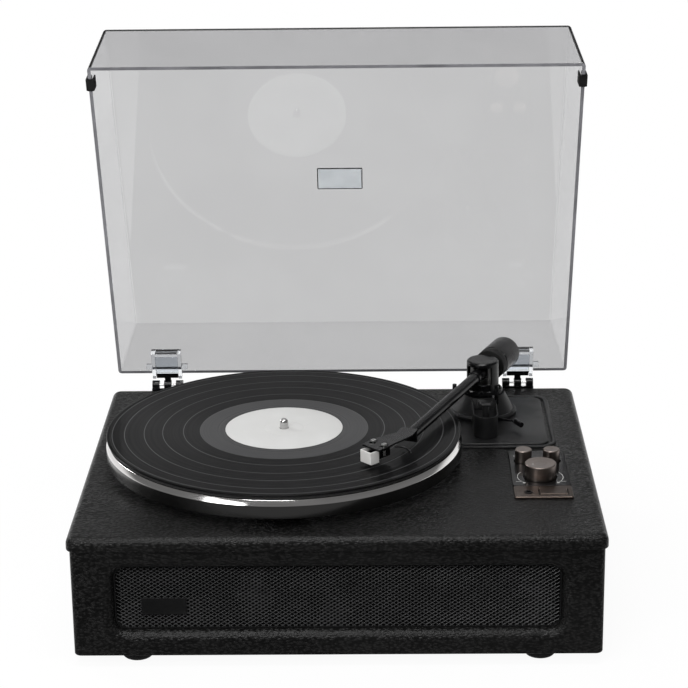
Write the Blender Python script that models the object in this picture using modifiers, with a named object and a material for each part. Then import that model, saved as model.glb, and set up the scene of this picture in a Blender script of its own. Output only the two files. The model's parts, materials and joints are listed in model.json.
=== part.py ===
"""A record player: a wrapped cabinet with a hinged dust cover, a belt driven platter and a tonearm.

Metres, +Z up. The object stands on Z = 0, its front faces -Y and the origin is the middle of its
footprint. The model is drawn with Y = 0 at the front edge of the top slab, under the empty `player`,
which moves everything back onto the origin at the end. It stands as it is used: the cover is open
and the tonearm is over the record.
"""

import math

import bmesh
import bpy
from mathutils import Matrix, Vector

# Clearances
GAP = 0.0003  # between two pieces that touch
RUN = 0.0006  # round a shaft that turns in a panel
OVERRUN = 0.002  # how far a cutter stands out of what it cuts
SINK = 0.0005  # how far a piece that is joined reaches into its neighbour
WELD = 0.000001  # points nearer than this become one
TURN_WELD = 0.00001  # the same, where a turned profile closes

# Top slab, laid out from the platter: these are its margins
SLAB_LEFT_MARGIN = 0.01545
SLAB_RIGHT_MARGIN = 0.02135  # beside the control panel
SLAB_FRONT_MARGIN = 0.0199
SLAB_BACK_MARGIN = 0.0263
SLAB_THICK = 0.0117
SLAB_CORNER = 0.0080
SLAB_ROUND = 0.0060
SLAB_TOP = 0.1134

# Cabinet, set back under the slab
SLAB_SIDE = 0.0022  # of the slab past each side of the cabinet
SLAB_OVERHANG = 0.0040  # of the slab past the cabinet's front
SLAB_BEHIND = 0.0040  # of the slab past the cabinet's back
FOOT_HEIGHT = 0.0100
FOOT_RADIUS = 0.0131
FOOT_CHAMFER = 0.0012
FOOT_SIDE_INSET = 0.04905  # from the cabinet's side to the middle of a foot
FOOT_INSET = 0.0230  # from the cabinet's front or back face to the middle of a foot
CABINET_CORNER = 0.0060
CABINET_WALL = 0.0090
BASE_THICK = 0.0060

# Speaker opening, grille and badge
MESH_SIDE = 0.03335  # from the cabinet's side to the opening
MESH_HEIGHT = 0.0553
MESH_MIDDLE_Z = 0.0580
MESH_CORNER = 0.0105
MESH_DEPTH = 0.0078  # of the mesh behind the cabinet's front
MESH_THICK = 0.0012
FLARE = 0.0078  # radius of the rounded edge round the opening
BADGE_WIDTH = 0.0360
BADGE_HEIGHT = 0.0145
BADGE_THICK = 0.0008
BADGE_CORNER = 0.0008
BADGE_INSET = 0.0399  # from the opening's left end to the plate's middle
BADGE_Z = 0.0503
SPEAKER_X = 0.1000
SPEAKER_FLANGE = 0.0660
SPEAKER_FLANGE_THICK = 0.0020
SPEAKER_FLANGE_CORNER = 0.0080
SPEAKER_RADIUS = 0.0290
SPEAKER_DISH = 0.0120
SPEAKER_DEPTH = 0.0220
SPEAKER_WALL = 0.0020
MAGNET_RADIUS = 0.0200
MAGNET_DEPTH = 0.0100
DUST_CAP_RADIUS = 0.0090

# Rear panel with its sockets
REAR_PANEL_X = 0.1100
REAR_PANEL_Z = 0.0500
REAR_PANEL_WIDTH = 0.0760
REAR_PANEL_HEIGHT = 0.0260
REAR_PANEL_THICK = 0.0030
REAR_FRAME = 0.0040
SOCKET_RADIUS = 0.0042
SOCKET_BORE = 0.0026
SOCKET_OUT = 0.0035
SOCKET_BEHIND = 0.0090
SOCKET_PITCH = 0.0180
SOCKET_COUNT = 3

# Platter, record and drive
PLATTER_BOTTOM = 0.0077  # above the slab
PLATTER_RADIUS = 0.1515
PLATTER_SIDE = 0.0110
PLATTER_BEVEL_HEIGHT = 0.0045
PLATTER_BEVEL = 0.0022
PLATTER_RIM = 0.0055
PLATTER_WEB = 0.0040
MAT_RADIUS = 0.1485
MAT_THICK = 0.0024
RECORD_RADIUS = 0.1509
RECORD_THICK = 0.0017
RECORD_BEAD = 0.0018
RECORD_DISH = 0.0003
LABEL_RADIUS = 0.0500
LABEL_THICK = 0.0003
SPINDLE_RADIUS = 0.0036
SPINDLE_ABOVE = 0.0085
SPINDLE_POINT = 0.0030
HUB_RADIUS = 0.0140
HUB_BOTTOM = 0.0052  # above the slab
BEARING_FLANGE_RADIUS = 0.0200
BEARING_FLANGE_THICK = 0.0020
BEARING_RADIUS = 0.0090
BEARING_DEPTH = 0.0400
BEARING_FLOOR = 0.0030
SPINDLE_COLLAR_RADIUS = 0.0085
DRIVE_RING_RADIUS = 0.0660
DRIVE_RING_WALL = 0.0035
DRIVE_RING_CLEAR = 0.0015  # from the ring's lower edge to the platter's bottom plane
BELT_THICK = 0.0006
BELT_WIDTH = 0.0040
PULLEY_RADIUS = 0.0060
PULLEY_FLANGE = 0.0014
PULLEY_FLANGE_THICK = 0.0008
MOTOR_DISTANCE = 0.1200
MOTOR_BEARING_ANGLE = math.radians(135)
MOTOR_RADIUS = 0.0180
MOTOR_LENGTH = 0.0280
MOTOR_SHAFT_RADIUS = 0.0010
MOTOR_HOLE = 0.0100
MOTOR_PLATE_RADIUS = 0.0240
MOTOR_PLATE_THICK = 0.0020

# Tonearm board and the trim round it
BOARD_WIDTH = 0.0826
BOARD_DEPTH = 0.1180
BOARD_BEHIND = 0.0335  # from the slab's back to the board
BOARD_HEIGHT = 0.0020
BOARD_CORNER = 0.0090
BOARD_EDGE = 0.0008
MOAT = 0.0028
TRIM_WIDTH = 0.0038
TRIM_HEIGHT = 0.0018
TRIM_EDGE = 0.0008

# Tonearm pillar, heights above the slab
ARM_BESIDE = 0.0229  # from the platter's side to the tonearm's axis
ARM_IN_BOARD = 0.0283  # from the board's left side to the tonearm's axis
ARM_BEHIND = 0.0371  # from the board's back to the tonearm's axis
BASE_FLANGE_RADIUS = 0.0304
BASE_FLANGE_TOP = 0.0065
CONE_FOOT_RADIUS = 0.0274
CONE_TOP_RADIUS = 0.0197
CONE_TOP = 0.0213
BASE_FLANGE_ROUND = 0.0015
COLLAR_RADIUS = 0.0180
COLLAR_TOP = 0.0254
COLLAR_ROUND = 0.0012
HOUSING_RADIUS = 0.01435
HOUSING_TOP = 0.0516
HOUSING_CHAMFER = 0.0014
HOUSING_WALL = 0.0013
HOUSING_FLOOR = 0.0270
HOUSING_ROOF = 0.0022
SLOT_BOTTOM = 0.0315
SLOT_TOP = 0.0472
SLOT_FROM = math.radians(-77)
SLOT_TO = math.radians(30)
TROUGH_RADIUS = 0.0107
TROUGH_WALL = 0.0011
TROUGH_TOP = 0.0220
TROUGH_FLOOR = 0.0120
TROUGH_FORWARD = 0.0607  # from the tonearm's axis to the middle of the trough's round end
TROUGH_BACK = 0.0240

# Tonearm
ARM_PLAN_ANGLE = math.radians(-23.85)
ARM_SLOPE = math.radians(0.95)
ARM_AXIS_HEIGHT = 0.0404
YOKE_RADIUS = 0.0124
YOKE_DISC = 0.0022
YOKE_CHEEK_IN = 0.0070
YOKE_CHEEK_THICK = 0.0026
YOKE_CHEEK_DEPTH = 0.0110
YOKE_TOP = 0.0466
YOKE_SHAFT_RADIUS = 0.0030
YOKE_SHAFT_BOTTOM = 0.0050
PIN_RADIUS = 0.0015
TUBE_RADIUS = 0.0050
SLEEVE_RADIUS = 0.0061
SLEEVE_END = 0.0220
SLEEVE_BACK = 0.0085
STUB_RADIUS = 0.0040
HEADSHELL_REAR = 0.1676
WEIGHT_RADIUS = 0.0142
WEIGHT_RING_RADIUS = 0.0140
WEIGHT_RING_START = 0.0162
WEIGHT_RING_END = 0.0255
WEIGHT_END = 0.0570
WEIGHT_CHAMFER = 0.0010
WEIGHT_BACK_WALL = 0.0040

# Headshell, cartridge and stylus, across the arm (w) and above its axis (h)
HEADSHELL_LENGTH = 0.0550
HEADSHELL_WIDTH = 0.0220
HEADSHELL_THICK = 0.0015
HEADSHELL_WALL_WIDTH = 0.0136
HEADSHELL_WALL_THICK = 0.0024
HEADSHELL_WALL_DROP = 0.0096
OFFSET_ANGLE = math.radians(-23)
SCREW_PITCH = 0.0127
SCREW_RADIUS = 0.0012
SCREW_HEAD_RADIUS = 0.0022
SCREW_HEAD = 0.0014
SCREW_LENGTH = 0.0090
SCREW_SLOT = 0.0008
MOUNT_SLOT_LENGTH = 0.0078
CARTRIDGE_WIDTH = 0.0100
CARTRIDGE_BACK = 0.0080
CARTRIDGE_FRONT = 0.0132
CARTRIDGE_BOTTOM = -0.0042
EAR_WIDTH = 0.0172
EAR_DEPTH = 0.0052
EAR_THICK = 0.0018
SHELL_WIDTH = 0.0124
SHELL_DEPTH = 0.0095
SHELL_TOP = 0.0042
SHELL_BOTTOM = -0.0066
SHELL_WALL = 0.0009
SHELL_FRONT = 0.0150
SHELL_LIP = 0.0030
STYLUS_TIP = 0.0003  # above the record
STYLUS_BLOCK_WIDTH = 0.0040
STYLUS_BLOCK_LENGTH = 0.0060
STYLUS_BLOCK_FRONT = 0.0040
STYLUS_TIP_FRONT = 0.0095
CANTILEVER_RADIUS = 0.00035
STYLUS_BLOCK_DROP = 0.0022
LIFT_WIRE_RADIUS = 0.0009
LIFT_REACH = 0.0150
LIFT_BOW = 0.0030
LIFT_DROP = 0.0035

# Arm rest clip, heights above the slab
CLIP_STEM_RADIUS = 0.0029
CLIP_WIDTH = 0.0142
CLIP_DEPTH = 0.0060
CLIP_BOTTOM = 0.0298
CLIP_THICK = 0.0016
CLIP_LIP = 0.0340
CLIP_STOP = 0.0380

# Cueing lift and lever, heights above the slab
LIFT_BAR_RADIUS = 0.0285
LIFT_BAR_WIDTH = 0.0030
LIFT_BAR_BOTTOM = 0.0275
LIFT_BAR_TOP = 0.0303
LIFT_BAR_FROM = math.radians(-64)
LIFT_BAR_TO = math.radians(24)
LIFT_KNOB_RADIUS = 0.0019
LIFT_KNOB_TOP = 0.0325
LIFT_POST_X = 0.0116
LIFT_POST_Y = -0.0170
LIFT_POST_RADIUS = 0.0019
LIFT_POST_BOTTOM = 0.0110
LEVER_HEIGHT = 0.0080
LEVER_OUT = 0.0015  # from the trough's side to the middle of the lever's root
LEVER_ROOT_FORWARD = 0.0352
LEVER_ACROSS = 0.0144  # from the root to the elbow
LEVER_FORWARD = 0.0066
LEVER_SHAFT_IN = 0.0060
LEVER_RADIUS = 0.0012
LEVER_GRIP_RADIUS = 0.0024
LEVER_GRIP_LENGTH = 0.0100
LEVER_GRIP_ANGLE = math.radians(-62)

# Control panel
PANEL_BESIDE = 0.0399  # from the platter's side to the panel
PANEL_TO_TRIM = 0.0115
PANEL_WIDTH = 0.0484
PANEL_FRONT_DEPTH = 0.0248
PANEL_REAR_DEPTH = 0.0781
PANEL_HEIGHT = 0.0020
PANEL_CORNER = 0.0018
PANEL_EDGE = 0.0008
VOLUME_RADIUS = 0.0131
VOLUME_TOP = 0.0148
KNOB_RADIUS = 0.00705
KNOB_TOP = 0.0130
KNOB_CHAMFER = 0.0007
KNOB_WELL = 0.0011  # of the panel's hole round a knob
SHAFT_RADIUS = 0.0030
BUTTON_WIDTH = 0.0227
BUTTON_DEPTH = 0.0123
BUTTON_PROUD = 0.0005
BUTTON_STEM = 0.0030
BUTTON_EDGE = 0.0005
BUTTON_CLEAR = 0.0006
BUTTON_TRAVEL = 0.0008
JACK_RADIUS = 0.0033
JACK_BORE = 0.0018
JACK_PROUD = 0.0004
CONTROL_BOARD_DROP = 0.0130  # below the slab
CONTROL_BOARD_THICK = 0.0016
CONTROL_BOARD_MARGIN = 0.0030
POT_RADIUS = 0.0070
POT_CLEAR = 0.0008
STANDOFF_RADIUS = 0.0025

# Dust cover and its hinges, in the closed place
COVER_SIDE = 0.0050  # of the slab past each side of the closed cover
COVER_FRONT_INSET = 0.0082  # of the closed cover's front from the slab's front
COVER_REAR_HEIGHT = 0.0734
COVER_FRONT_HEIGHT = 0.0643
COVER_SIDE_SLOPE = 0.122  # of the side walls' lean, as a share of their height
COVER_END_SLOPE = 0.014
COVER_THICK = 0.0030
COVER_ROUND = 0.0030
COVER_OPEN = 69.3  # degrees
COVER_REAR_INSET = 0.0062  # of the closed cover's back from the slab's back
RIM_GAP = 0.0015  # under the closed cover
HINGE_BEHIND = 0.0142  # from the closed cover's back to the hinge pin
HINGE_SIDE = 0.04525  # from the cover's side to the middle of a hinge
KNUCKLE_RADIUS = 0.0042
LOBE_IN = 0.0077
LOBE_OUT = 0.0144
KNUCKLE_HALF = 0.0034
HINGE_PIN_RADIUS = 0.0009
BRACKET_PLATE = 0.0025
BRACKET_DROP = 0.0110
TONGUE_HALF = 0.0102
TONGUE_THICK = 0.0046
TONGUE_LENGTH = 0.0180
TONGUE_NECK = 0.0023
POCKET_HALF = 0.0137
POCKET_WALL = 0.0012
POCKET_MOUTH = 0.0073
POCKET_LENGTH = 0.0222
POCKET_LOW = 0.0006
FLANGE_HALF = 0.0193
FLANGE_THICK = 0.0018
BUMPER_INSET = 0.0228  # from the closed cover's front to a bumper's back end
BUMPER_LENGTH = 0.0116
BUMPER_HEIGHT = 0.0070
BUMPER_SHEET = 0.0020
BUMPER_FOOT = 0.0011
LID_BADGE_WIDTH = 0.0410
LID_BADGE_DEPTH = 0.0234
LID_BADGE_THICK = 0.0006
LID_BADGE_CORNER = 0.0010

TURN_FINE = 80
TURN_MEDIUM = 40
TURN_SMALL = 20
ARC_STEPS = 6
ROUND_STEPS = 4  # of a wide rounded edge
EDGE_STEPS = 2  # of a fine one
FLAT_ANGLE = math.radians(1)
SHARP_ANGLE = math.radians(30)
SMOOTH_ANGLE = math.radians(35)

# Shares of the panel's width and of a plate's depth, to the middle of what it carries
VOLUME_SHARES = (0.4917, 0.2394)
KNOB_LEFT_SHARES = (0.2459, 0.7029)
KNOB_RIGHT_SHARES = (0.7355, 0.7029)
BUTTON_SHARES = (0.6684, 0.4657)
JACK_SHARES = (0.2438, 0.4234)

# Share of the cover's depth, from its back to the middle of the plate in the lid
LID_BADGE_SHARE = 0.5203

# Shares of the headshell's length (from its back) and width (from the arm's axis)
MOUNT_SHARES = (0.7509, -0.4545)
LIFT_START_SHARES = (0.6618, 0.0818)

# Shares of the headshell's length (from its back) and width (from the arm's axis), round the plate
HEADSHELL_OUTLINE_SHARES = (
    (0.000, -0.330),
    (0.000, 0.330),
    (0.260, 0.375),
    (0.610, 0.110),
    (1.000, -0.160),
    (0.860, -1.000),
    (0.640, -0.900),
    (0.250, -0.310),
)

# Sizes and places that follow
SLAB_WIDTH = (
    SLAB_LEFT_MARGIN + 2 * PLATTER_RADIUS + PANEL_BESIDE + PANEL_WIDTH + SLAB_RIGHT_MARGIN
)
SLAB_DEPTH = SLAB_FRONT_MARGIN + 2 * PLATTER_RADIUS + SLAB_BACK_MARGIN
SPINDLE_X = SLAB_LEFT_MARGIN + PLATTER_RADIUS - SLAB_WIDTH / 2
SPINDLE_Y = SLAB_FRONT_MARGIN + PLATTER_RADIUS
CABINET_WIDTH = SLAB_WIDTH - 2 * SLAB_SIDE
CABINET_DEPTH = SLAB_DEPTH - SLAB_OVERHANG - SLAB_BEHIND
FOOT_X = CABINET_WIDTH / 2 - FOOT_SIDE_INSET
MESH_WIDTH = CABINET_WIDTH - 2 * MESH_SIDE
BADGE_X = BADGE_INSET - MESH_WIDTH / 2
ARM_X = SPINDLE_X + PLATTER_RADIUS + ARM_BESIDE
BOARD_LEFT = ARM_X - ARM_IN_BOARD
BOARD_RIGHT = BOARD_LEFT + BOARD_WIDTH
BOARD_BACK = SLAB_DEPTH - BOARD_BEHIND
BOARD_FRONT = BOARD_BACK - BOARD_DEPTH
ARM_Y = BOARD_BACK - ARM_BEHIND
PANEL_LEFT = SPINDLE_X + PLATTER_RADIUS + PANEL_BESIDE
PANEL_RIGHT = PANEL_LEFT + PANEL_WIDTH
PANEL_BACK = BOARD_FRONT - MOAT - TRIM_WIDTH - PANEL_TO_TRIM
PANEL_SPLIT = PANEL_BACK - PANEL_REAR_DEPTH
PANEL_FRONT = PANEL_SPLIT - PANEL_FRONT_DEPTH
COVER_WIDTH = SLAB_WIDTH - 2 * COVER_SIDE
COVER_DEPTH = SLAB_DEPTH - COVER_REAR_INSET - COVER_FRONT_INSET
HINGE_X = COVER_WIDTH / 2 - HINGE_SIDE


def on_rear_plate(shares):
    """A place on the panel's rear plate."""
    return PANEL_LEFT + shares[0] * PANEL_WIDTH, PANEL_SPLIT + shares[1] * PANEL_REAR_DEPTH


def on_front_plate(shares):
    """A place on the panel's front plate."""
    return PANEL_LEFT + shares[0] * PANEL_WIDTH, PANEL_FRONT + shares[1] * PANEL_FRONT_DEPTH


def on_headshell(shares):
    """A place on the headshell, on the arm's axes."""
    return shares[1] * HEADSHELL_WIDTH, -HEADSHELL_REAR - shares[0] * HEADSHELL_LENGTH


def arc(centre, radius, start, end, steps):
    """Points on a circular arc in the plan, from one angle to another."""
    points = []
    for i in range(steps + 1):
        angle = start + (end - start) * i / steps
        points.append((centre[0] + radius * math.cos(angle), centre[1] + radius * math.sin(angle)))
    return points


def rounded_rectangle(width, depth, corner, steps=ARC_STEPS, centre=(0, 0)):
    """The outline of a rectangle with round corners, counter-clockwise."""
    x = width / 2 - corner
    y = depth / 2 - corner
    outline = []
    for i, (sx, sy) in enumerate(((1, 1), (-1, 1), (-1, -1), (1, -1))):
        middle = (centre[0] + sx * x, centre[1] + sy * y)
        outline += arc(middle, corner, i * math.pi / 2, (i + 1) * math.pi / 2, steps)
    return outline


def clear_scene():
    """Remove what the startup file holds."""
    for obj in list(bpy.data.objects):
        bpy.data.objects.remove(obj)


def new_collection(name):
    collection = bpy.data.collections.new(name)
    bpy.context.scene.collection.children.link(collection)
    return collection


def material(name, colour, roughness, metallic=0.0, alpha=1.0):
    """A Principled material, made once for each name."""
    made = bpy.data.materials.get(name)
    if made:
        return made
    made = bpy.data.materials.new(name)
    made.use_nodes = True
    shader = made.node_tree.nodes["Principled BSDF"]
    shader.inputs["Base Color"].default_value = (*colour, 1)
    shader.inputs["Roughness"].default_value = roughness
    shader.inputs["Metallic"].default_value = metallic
    shader.inputs["Alpha"].default_value = alpha
    made.diffuse_color = (*colour, alpha)
    return made


def leatherette():
    return material("leatherette", (0.016, 0.016, 0.017), 0.48)


def fibreboard():
    return material("fibreboard", (0.060, 0.052, 0.045), 0.85)


def black_rubber():
    return material("black_rubber", (0.012, 0.012, 0.012), 0.75)


def matte_black():
    return material("matte_black", (0.022, 0.022, 0.024), 0.50)


def gloss_black():
    return material("gloss_black", (0.010, 0.010, 0.011), 0.18)


def vinyl():
    return material("vinyl", (0.010, 0.010, 0.011), 0.28)


def label_paper():
    return material("label_paper", (0.720, 0.715, 0.700), 0.80)


def aluminium():
    return material("aluminium", (0.550, 0.545, 0.540), 0.22, 1.0)


def steel():
    return material("steel", (0.600, 0.600, 0.610), 0.25, 1.0)


def brass():
    return material("brass", (0.700, 0.540, 0.250), 0.30, 1.0)


def bronze():
    return material("bronze", (0.190, 0.165, 0.150), 0.34, 1.0)


def white_plastic():
    return material("white_plastic", (0.780, 0.770, 0.750), 0.40)


def circuit_green():
    return material("circuit_board", (0.030, 0.120, 0.060), 0.55)


def smoke_clear():
    return material("smoke_clear", (0.300, 0.300, 0.310), 0.05, 0.0, 0.35)


def clear_plastic():
    return material("clear_plastic", (0.800, 0.820, 0.840), 0.08, 0.0, 0.45)


def pale_plastic():
    return material("pale_plastic", (0.560, 0.590, 0.610), 0.35)


def felt():
    return material("felt", (0.020, 0.020, 0.020), 0.95)


def finish(obj, look, parent, place=(0, 0, 0)):
    """Give a piece its material, its parent and its place under that parent."""
    obj.data.materials.clear()
    obj.data.materials.append(look)
    obj.parent = parent
    obj.location = place
    return obj


def link(name, mesh, helper=False):
    """Link a mesh as a new object, as a part or as a hidden cutter."""
    obj = bpy.data.objects.new(name, mesh)
    (CUTTERS if helper else PARTS).objects.link(obj)
    if helper:
        obj.hide_render = True
        obj.display_type = "WIRE"
    return obj


def box(name, low, high, helper=False):
    """A box between two corners."""
    bm = bmesh.new()
    bmesh.ops.create_cube(bm, size=1)
    size = Vector(high) - Vector(low)
    middle = (Vector(high) + Vector(low)) / 2
    bmesh.ops.scale(bm, vec=size, verts=bm.verts)
    bmesh.ops.translate(bm, vec=middle, verts=bm.verts)
    mesh = bpy.data.meshes.new(name)
    bm.to_mesh(mesh)
    bm.free()
    return link(name, mesh, helper)


def rod(name, start, end, radius, steps=TURN_SMALL, helper=False):
    """A round rod between two points."""
    start = Vector(start)
    end = Vector(end)
    axis = end - start
    turn = Vector((0, 0, 1)).rotation_difference(axis).to_matrix().to_4x4()
    bm = bmesh.new()
    bmesh.ops.create_cone(
        bm, cap_ends=True, segments=steps, radius1=radius, radius2=radius, depth=axis.length
    )
    bmesh.ops.transform(bm, matrix=Matrix.Translation((start + end) / 2) @ turn, verts=bm.verts)
    mesh = bpy.data.meshes.new(name)
    bm.to_mesh(mesh)
    bm.free()
    return link(name, mesh, helper)


def turned(name, profile, steps, helper=False, closed=False):
    """Turn a profile of (radius, height) points about Z; it runs down the outer side, top to bottom."""
    mesh = bpy.data.meshes.new(name)
    edges = [(i, i + 1) for i in range(len(profile) - 1)]
    if closed:
        edges.append((len(profile) - 1, 0))
    mesh.from_pydata([(radius, 0, height) for radius, height in profile], edges, [])
    obj = link(name, mesh, helper)
    screw = obj.modifiers.new("turn", "SCREW")
    screw.steps = steps
    screw.render_steps = steps
    screw.use_merge_vertices = True
    screw.merge_threshold = TURN_WELD
    return obj


def plate(name, outline, bottom, top, helper=False):
    """A flat outline given a thickness between two heights."""
    curve = bpy.data.curves.new(name, "CURVE")
    curve.dimensions = "2D"
    curve.fill_mode = "BOTH"
    curve.extrude = (top - bottom) / 2
    spline = curve.splines.new("POLY")
    spline.points.add(len(outline) - 1)
    for point, (x, y) in zip(spline.points, outline):
        point.co = (x, y, 0, 1)
    spline.use_cyclic_u = True
    flat = bpy.data.objects.new(name + "_outline", curve)
    PARTS.objects.link(flat)
    graph = bpy.context.evaluated_depsgraph_get()
    mesh = bpy.data.meshes.new_from_object(flat.evaluated_get(graph))
    bpy.data.objects.remove(flat)
    bm = bmesh.new()
    bm.from_mesh(mesh)
    bmesh.ops.remove_doubles(bm, verts=bm.verts, dist=WELD)
    bmesh.ops.dissolve_limit(bm, angle_limit=FLAT_ANGLE, verts=bm.verts, edges=bm.edges)
    bmesh.ops.translate(bm, vec=(0, 0, (top + bottom) / 2), verts=bm.verts)
    bmesh.ops.recalc_face_normals(bm, faces=bm.faces)
    bm.to_mesh(mesh)
    bm.free()
    return link(name, mesh, helper)


def wire(name, points, radius, helper=False):
    """A round wire along a list of points, welded into a closed mesh."""
    curve = bpy.data.curves.new(name, "CURVE")
    curve.dimensions = "3D"
    curve.bevel_depth = radius
    curve.bevel_resolution = 2
    curve.use_fill_caps = True
    spline = curve.splines.new("POLY")
    spline.points.add(len(points) - 1)
    for point, co in zip(spline.points, points):
        point.co = (*co, 1)
    bent = bpy.data.objects.new(name + "_path", curve)
    PARTS.objects.link(bent)
    graph = bpy.context.evaluated_depsgraph_get()
    mesh = bpy.data.meshes.new_from_object(bent.evaluated_get(graph))
    bpy.data.objects.remove(bent)
    bm = bmesh.new()
    bm.from_mesh(mesh)
    bmesh.ops.remove_doubles(bm, verts=bm.verts, dist=WELD)
    bmesh.ops.recalc_face_normals(bm, faces=bm.faces)
    bm.to_mesh(mesh)
    bm.free()
    return link(name, mesh, helper)


def loft(name, loops, helper=False):
    """Bridge closed loops of equal length and cap both ends."""
    bm = bmesh.new()
    rows = [[bm.verts.new(point) for point in loop] for loop in loops]
    count = len(rows[0])
    for low, high in zip(rows, rows[1:]):
        for i in range(count):
            after = (i + 1) % count
            bm.faces.new((low[i], low[after], high[after], high[i]))
    bm.faces.new(rows[0])
    bm.faces.new(rows[-1])
    bmesh.ops.recalc_face_normals(bm, faces=bm.faces)
    mesh = bpy.data.meshes.new(name)
    bm.to_mesh(mesh)
    bm.free()
    return link(name, mesh, helper)


def combine(obj, other, operation):
    """Join or cut with a hidden helper."""
    modifier = obj.modifiers.new(operation.lower(), "BOOLEAN")
    modifier.operation = operation
    modifier.object = other
    other.parent = obj
    return obj


def cut(obj, *cutters):
    for cutter in cutters:
        combine(obj, cutter, "DIFFERENCE")
    return obj


def join(obj, *others):
    for other in others:
        combine(obj, other, "UNION")
    return obj


def bevel_where(obj, width, segments, chosen):
    """Round the sharp edges whose two ends the test accepts."""
    bm = bmesh.new()
    bm.from_mesh(obj.data)
    weight = bm.edges.layers.float.new("bevel_weight_edge")
    for edge in bm.edges:
        sharp = len(edge.link_faces) == 2 and edge.calc_face_angle() > SHARP_ANGLE
        if sharp and all(chosen(vert.co) for vert in edge.verts):
            edge[weight] = 1
    bm.to_mesh(obj.data)
    bm.free()
    modifier = obj.modifiers.new("round", "BEVEL")
    modifier.limit_method = "WEIGHT"
    modifier.width = width
    modifier.segments = segments
    modifier.use_clamp_overlap = False
    return obj


def bevel_at_height(obj, width, segments, height):
    """Round the edges of the flat face at one height."""
    return bevel_where(obj, width, segments, lambda co: abs(co.z - height) < GAP)


def smooth(obj, angle=SMOOTH_ANGLE):
    """Shade round pieces smooth, with the hard edges kept."""
    for face in obj.data.polygons:
        face.use_smooth = True
    if obj.data.polygons:
        obj.data.set_sharp_from_angle(angle=angle)
    return obj


def empty(name, parent, place, turn=(0, 0, 0)):
    """A frame for the pieces that move together, on their joint's axis."""
    frame = bpy.data.objects.new(name, None)
    PARTS.objects.link(frame)
    frame.parent = parent
    frame.location = place
    frame.rotation_euler = turn
    return frame


def stand(obj):
    """Turn a flat plate so that its outline faces the front."""
    obj.rotation_euler = (math.pi / 2, 0, 0)
    return obj


# Cabinet


def slab_bottom():
    return SLAB_TOP - SLAB_THICK


def cabinet_front():
    return SLAB_OVERHANG


def cabinet_back():
    return SLAB_OVERHANG + CABINET_DEPTH


def flared_opening():
    """The grille's opening: straight at the back, with a quarter-round flare at the front."""
    loops = []
    half_turn = math.pi / 2
    for i in range(ARC_STEPS + 1):
        angle = half_turn * i / ARC_STEPS
        grow = FLARE * (1 - math.sin(angle))
        depth = cabinet_front() + FLARE * (1 - math.cos(angle))
        loops.append((grow, depth))
    loops.insert(0, (FLARE, cabinet_front() - OVERRUN))
    loops.append((0, cabinet_front() + CABINET_WALL + OVERRUN))
    rows = []
    for grow, depth in loops:
        outline = rounded_rectangle(MESH_WIDTH + 2 * grow, MESH_HEIGHT + 2 * grow, MESH_CORNER + grow)
        rows.append([(x, depth, MESH_MIDDLE_Z + z) for x, z in outline])
    return loft("opening_cutter", rows, True)


def make_cabinet(player):
    outline = rounded_rectangle(
        CABINET_WIDTH, CABINET_DEPTH, CABINET_CORNER, centre=(0, cabinet_front() + CABINET_DEPTH / 2)
    )
    body = plate("cabinet_body", outline, FOOT_HEIGHT, slab_bottom() - GAP)
    inside = box(
        "cabinet_cavity",
        (CABINET_WALL - CABINET_WIDTH / 2, cabinet_front() + CABINET_WALL, FOOT_HEIGHT - OVERRUN),
        (CABINET_WIDTH / 2 - CABINET_WALL, cabinet_back() - CABINET_WALL, SLAB_TOP),
        True,
    )
    rear = box(
        "rear_panel_cutter",
        (
            REAR_PANEL_X - REAR_PANEL_WIDTH / 2 + REAR_FRAME,
            cabinet_back() - CABINET_WALL - OVERRUN,
            REAR_PANEL_Z - REAR_PANEL_HEIGHT / 2 + REAR_FRAME,
        ),
        (
            REAR_PANEL_X + REAR_PANEL_WIDTH / 2 - REAR_FRAME,
            cabinet_back() + OVERRUN,
            REAR_PANEL_Z + REAR_PANEL_HEIGHT / 2 - REAR_FRAME,
        ),
        True,
    )
    rebate = box(
        "rear_rebate_cutter",
        (
            REAR_PANEL_X - REAR_PANEL_WIDTH / 2 - GAP,
            cabinet_back() - REAR_PANEL_THICK - GAP,
            REAR_PANEL_Z - REAR_PANEL_HEIGHT / 2 - GAP,
        ),
        (
            REAR_PANEL_X + REAR_PANEL_WIDTH / 2 + GAP,
            cabinet_back() + OVERRUN,
            REAR_PANEL_Z + REAR_PANEL_HEIGHT / 2 + GAP,
        ),
        True,
    )
    cut(body, inside, flared_opening(), rear, rebate)
    return finish(body, leatherette(), player)


def make_base_panel(player):
    margin = CABINET_WALL + GAP
    base = box(
        "base_panel",
        (margin - CABINET_WIDTH / 2, cabinet_front() + margin, FOOT_HEIGHT),
        (CABINET_WIDTH / 2 - margin, cabinet_back() - margin, FOOT_HEIGHT + BASE_THICK),
    )
    return finish(base, fibreboard(), player)


def make_feet(player):
    """Four turned rubber feet under the base panel."""
    profile = (
        (0, FOOT_HEIGHT - GAP),
        (FOOT_RADIUS, FOOT_HEIGHT - GAP),
        (FOOT_RADIUS, FOOT_CHAMFER),
        (FOOT_RADIUS - FOOT_CHAMFER, 0),
        (0, 0),
    )
    for side, x in (("left", -FOOT_X), ("right", FOOT_X)):
        for end, y in (("front", cabinet_front() + FOOT_INSET), ("rear", cabinet_back() - FOOT_INSET)):
            foot = turned("foot_" + end + "_" + side, profile, TURN_SMALL)
            finish(foot, black_rubber(), player, (x, y, 0))


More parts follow.
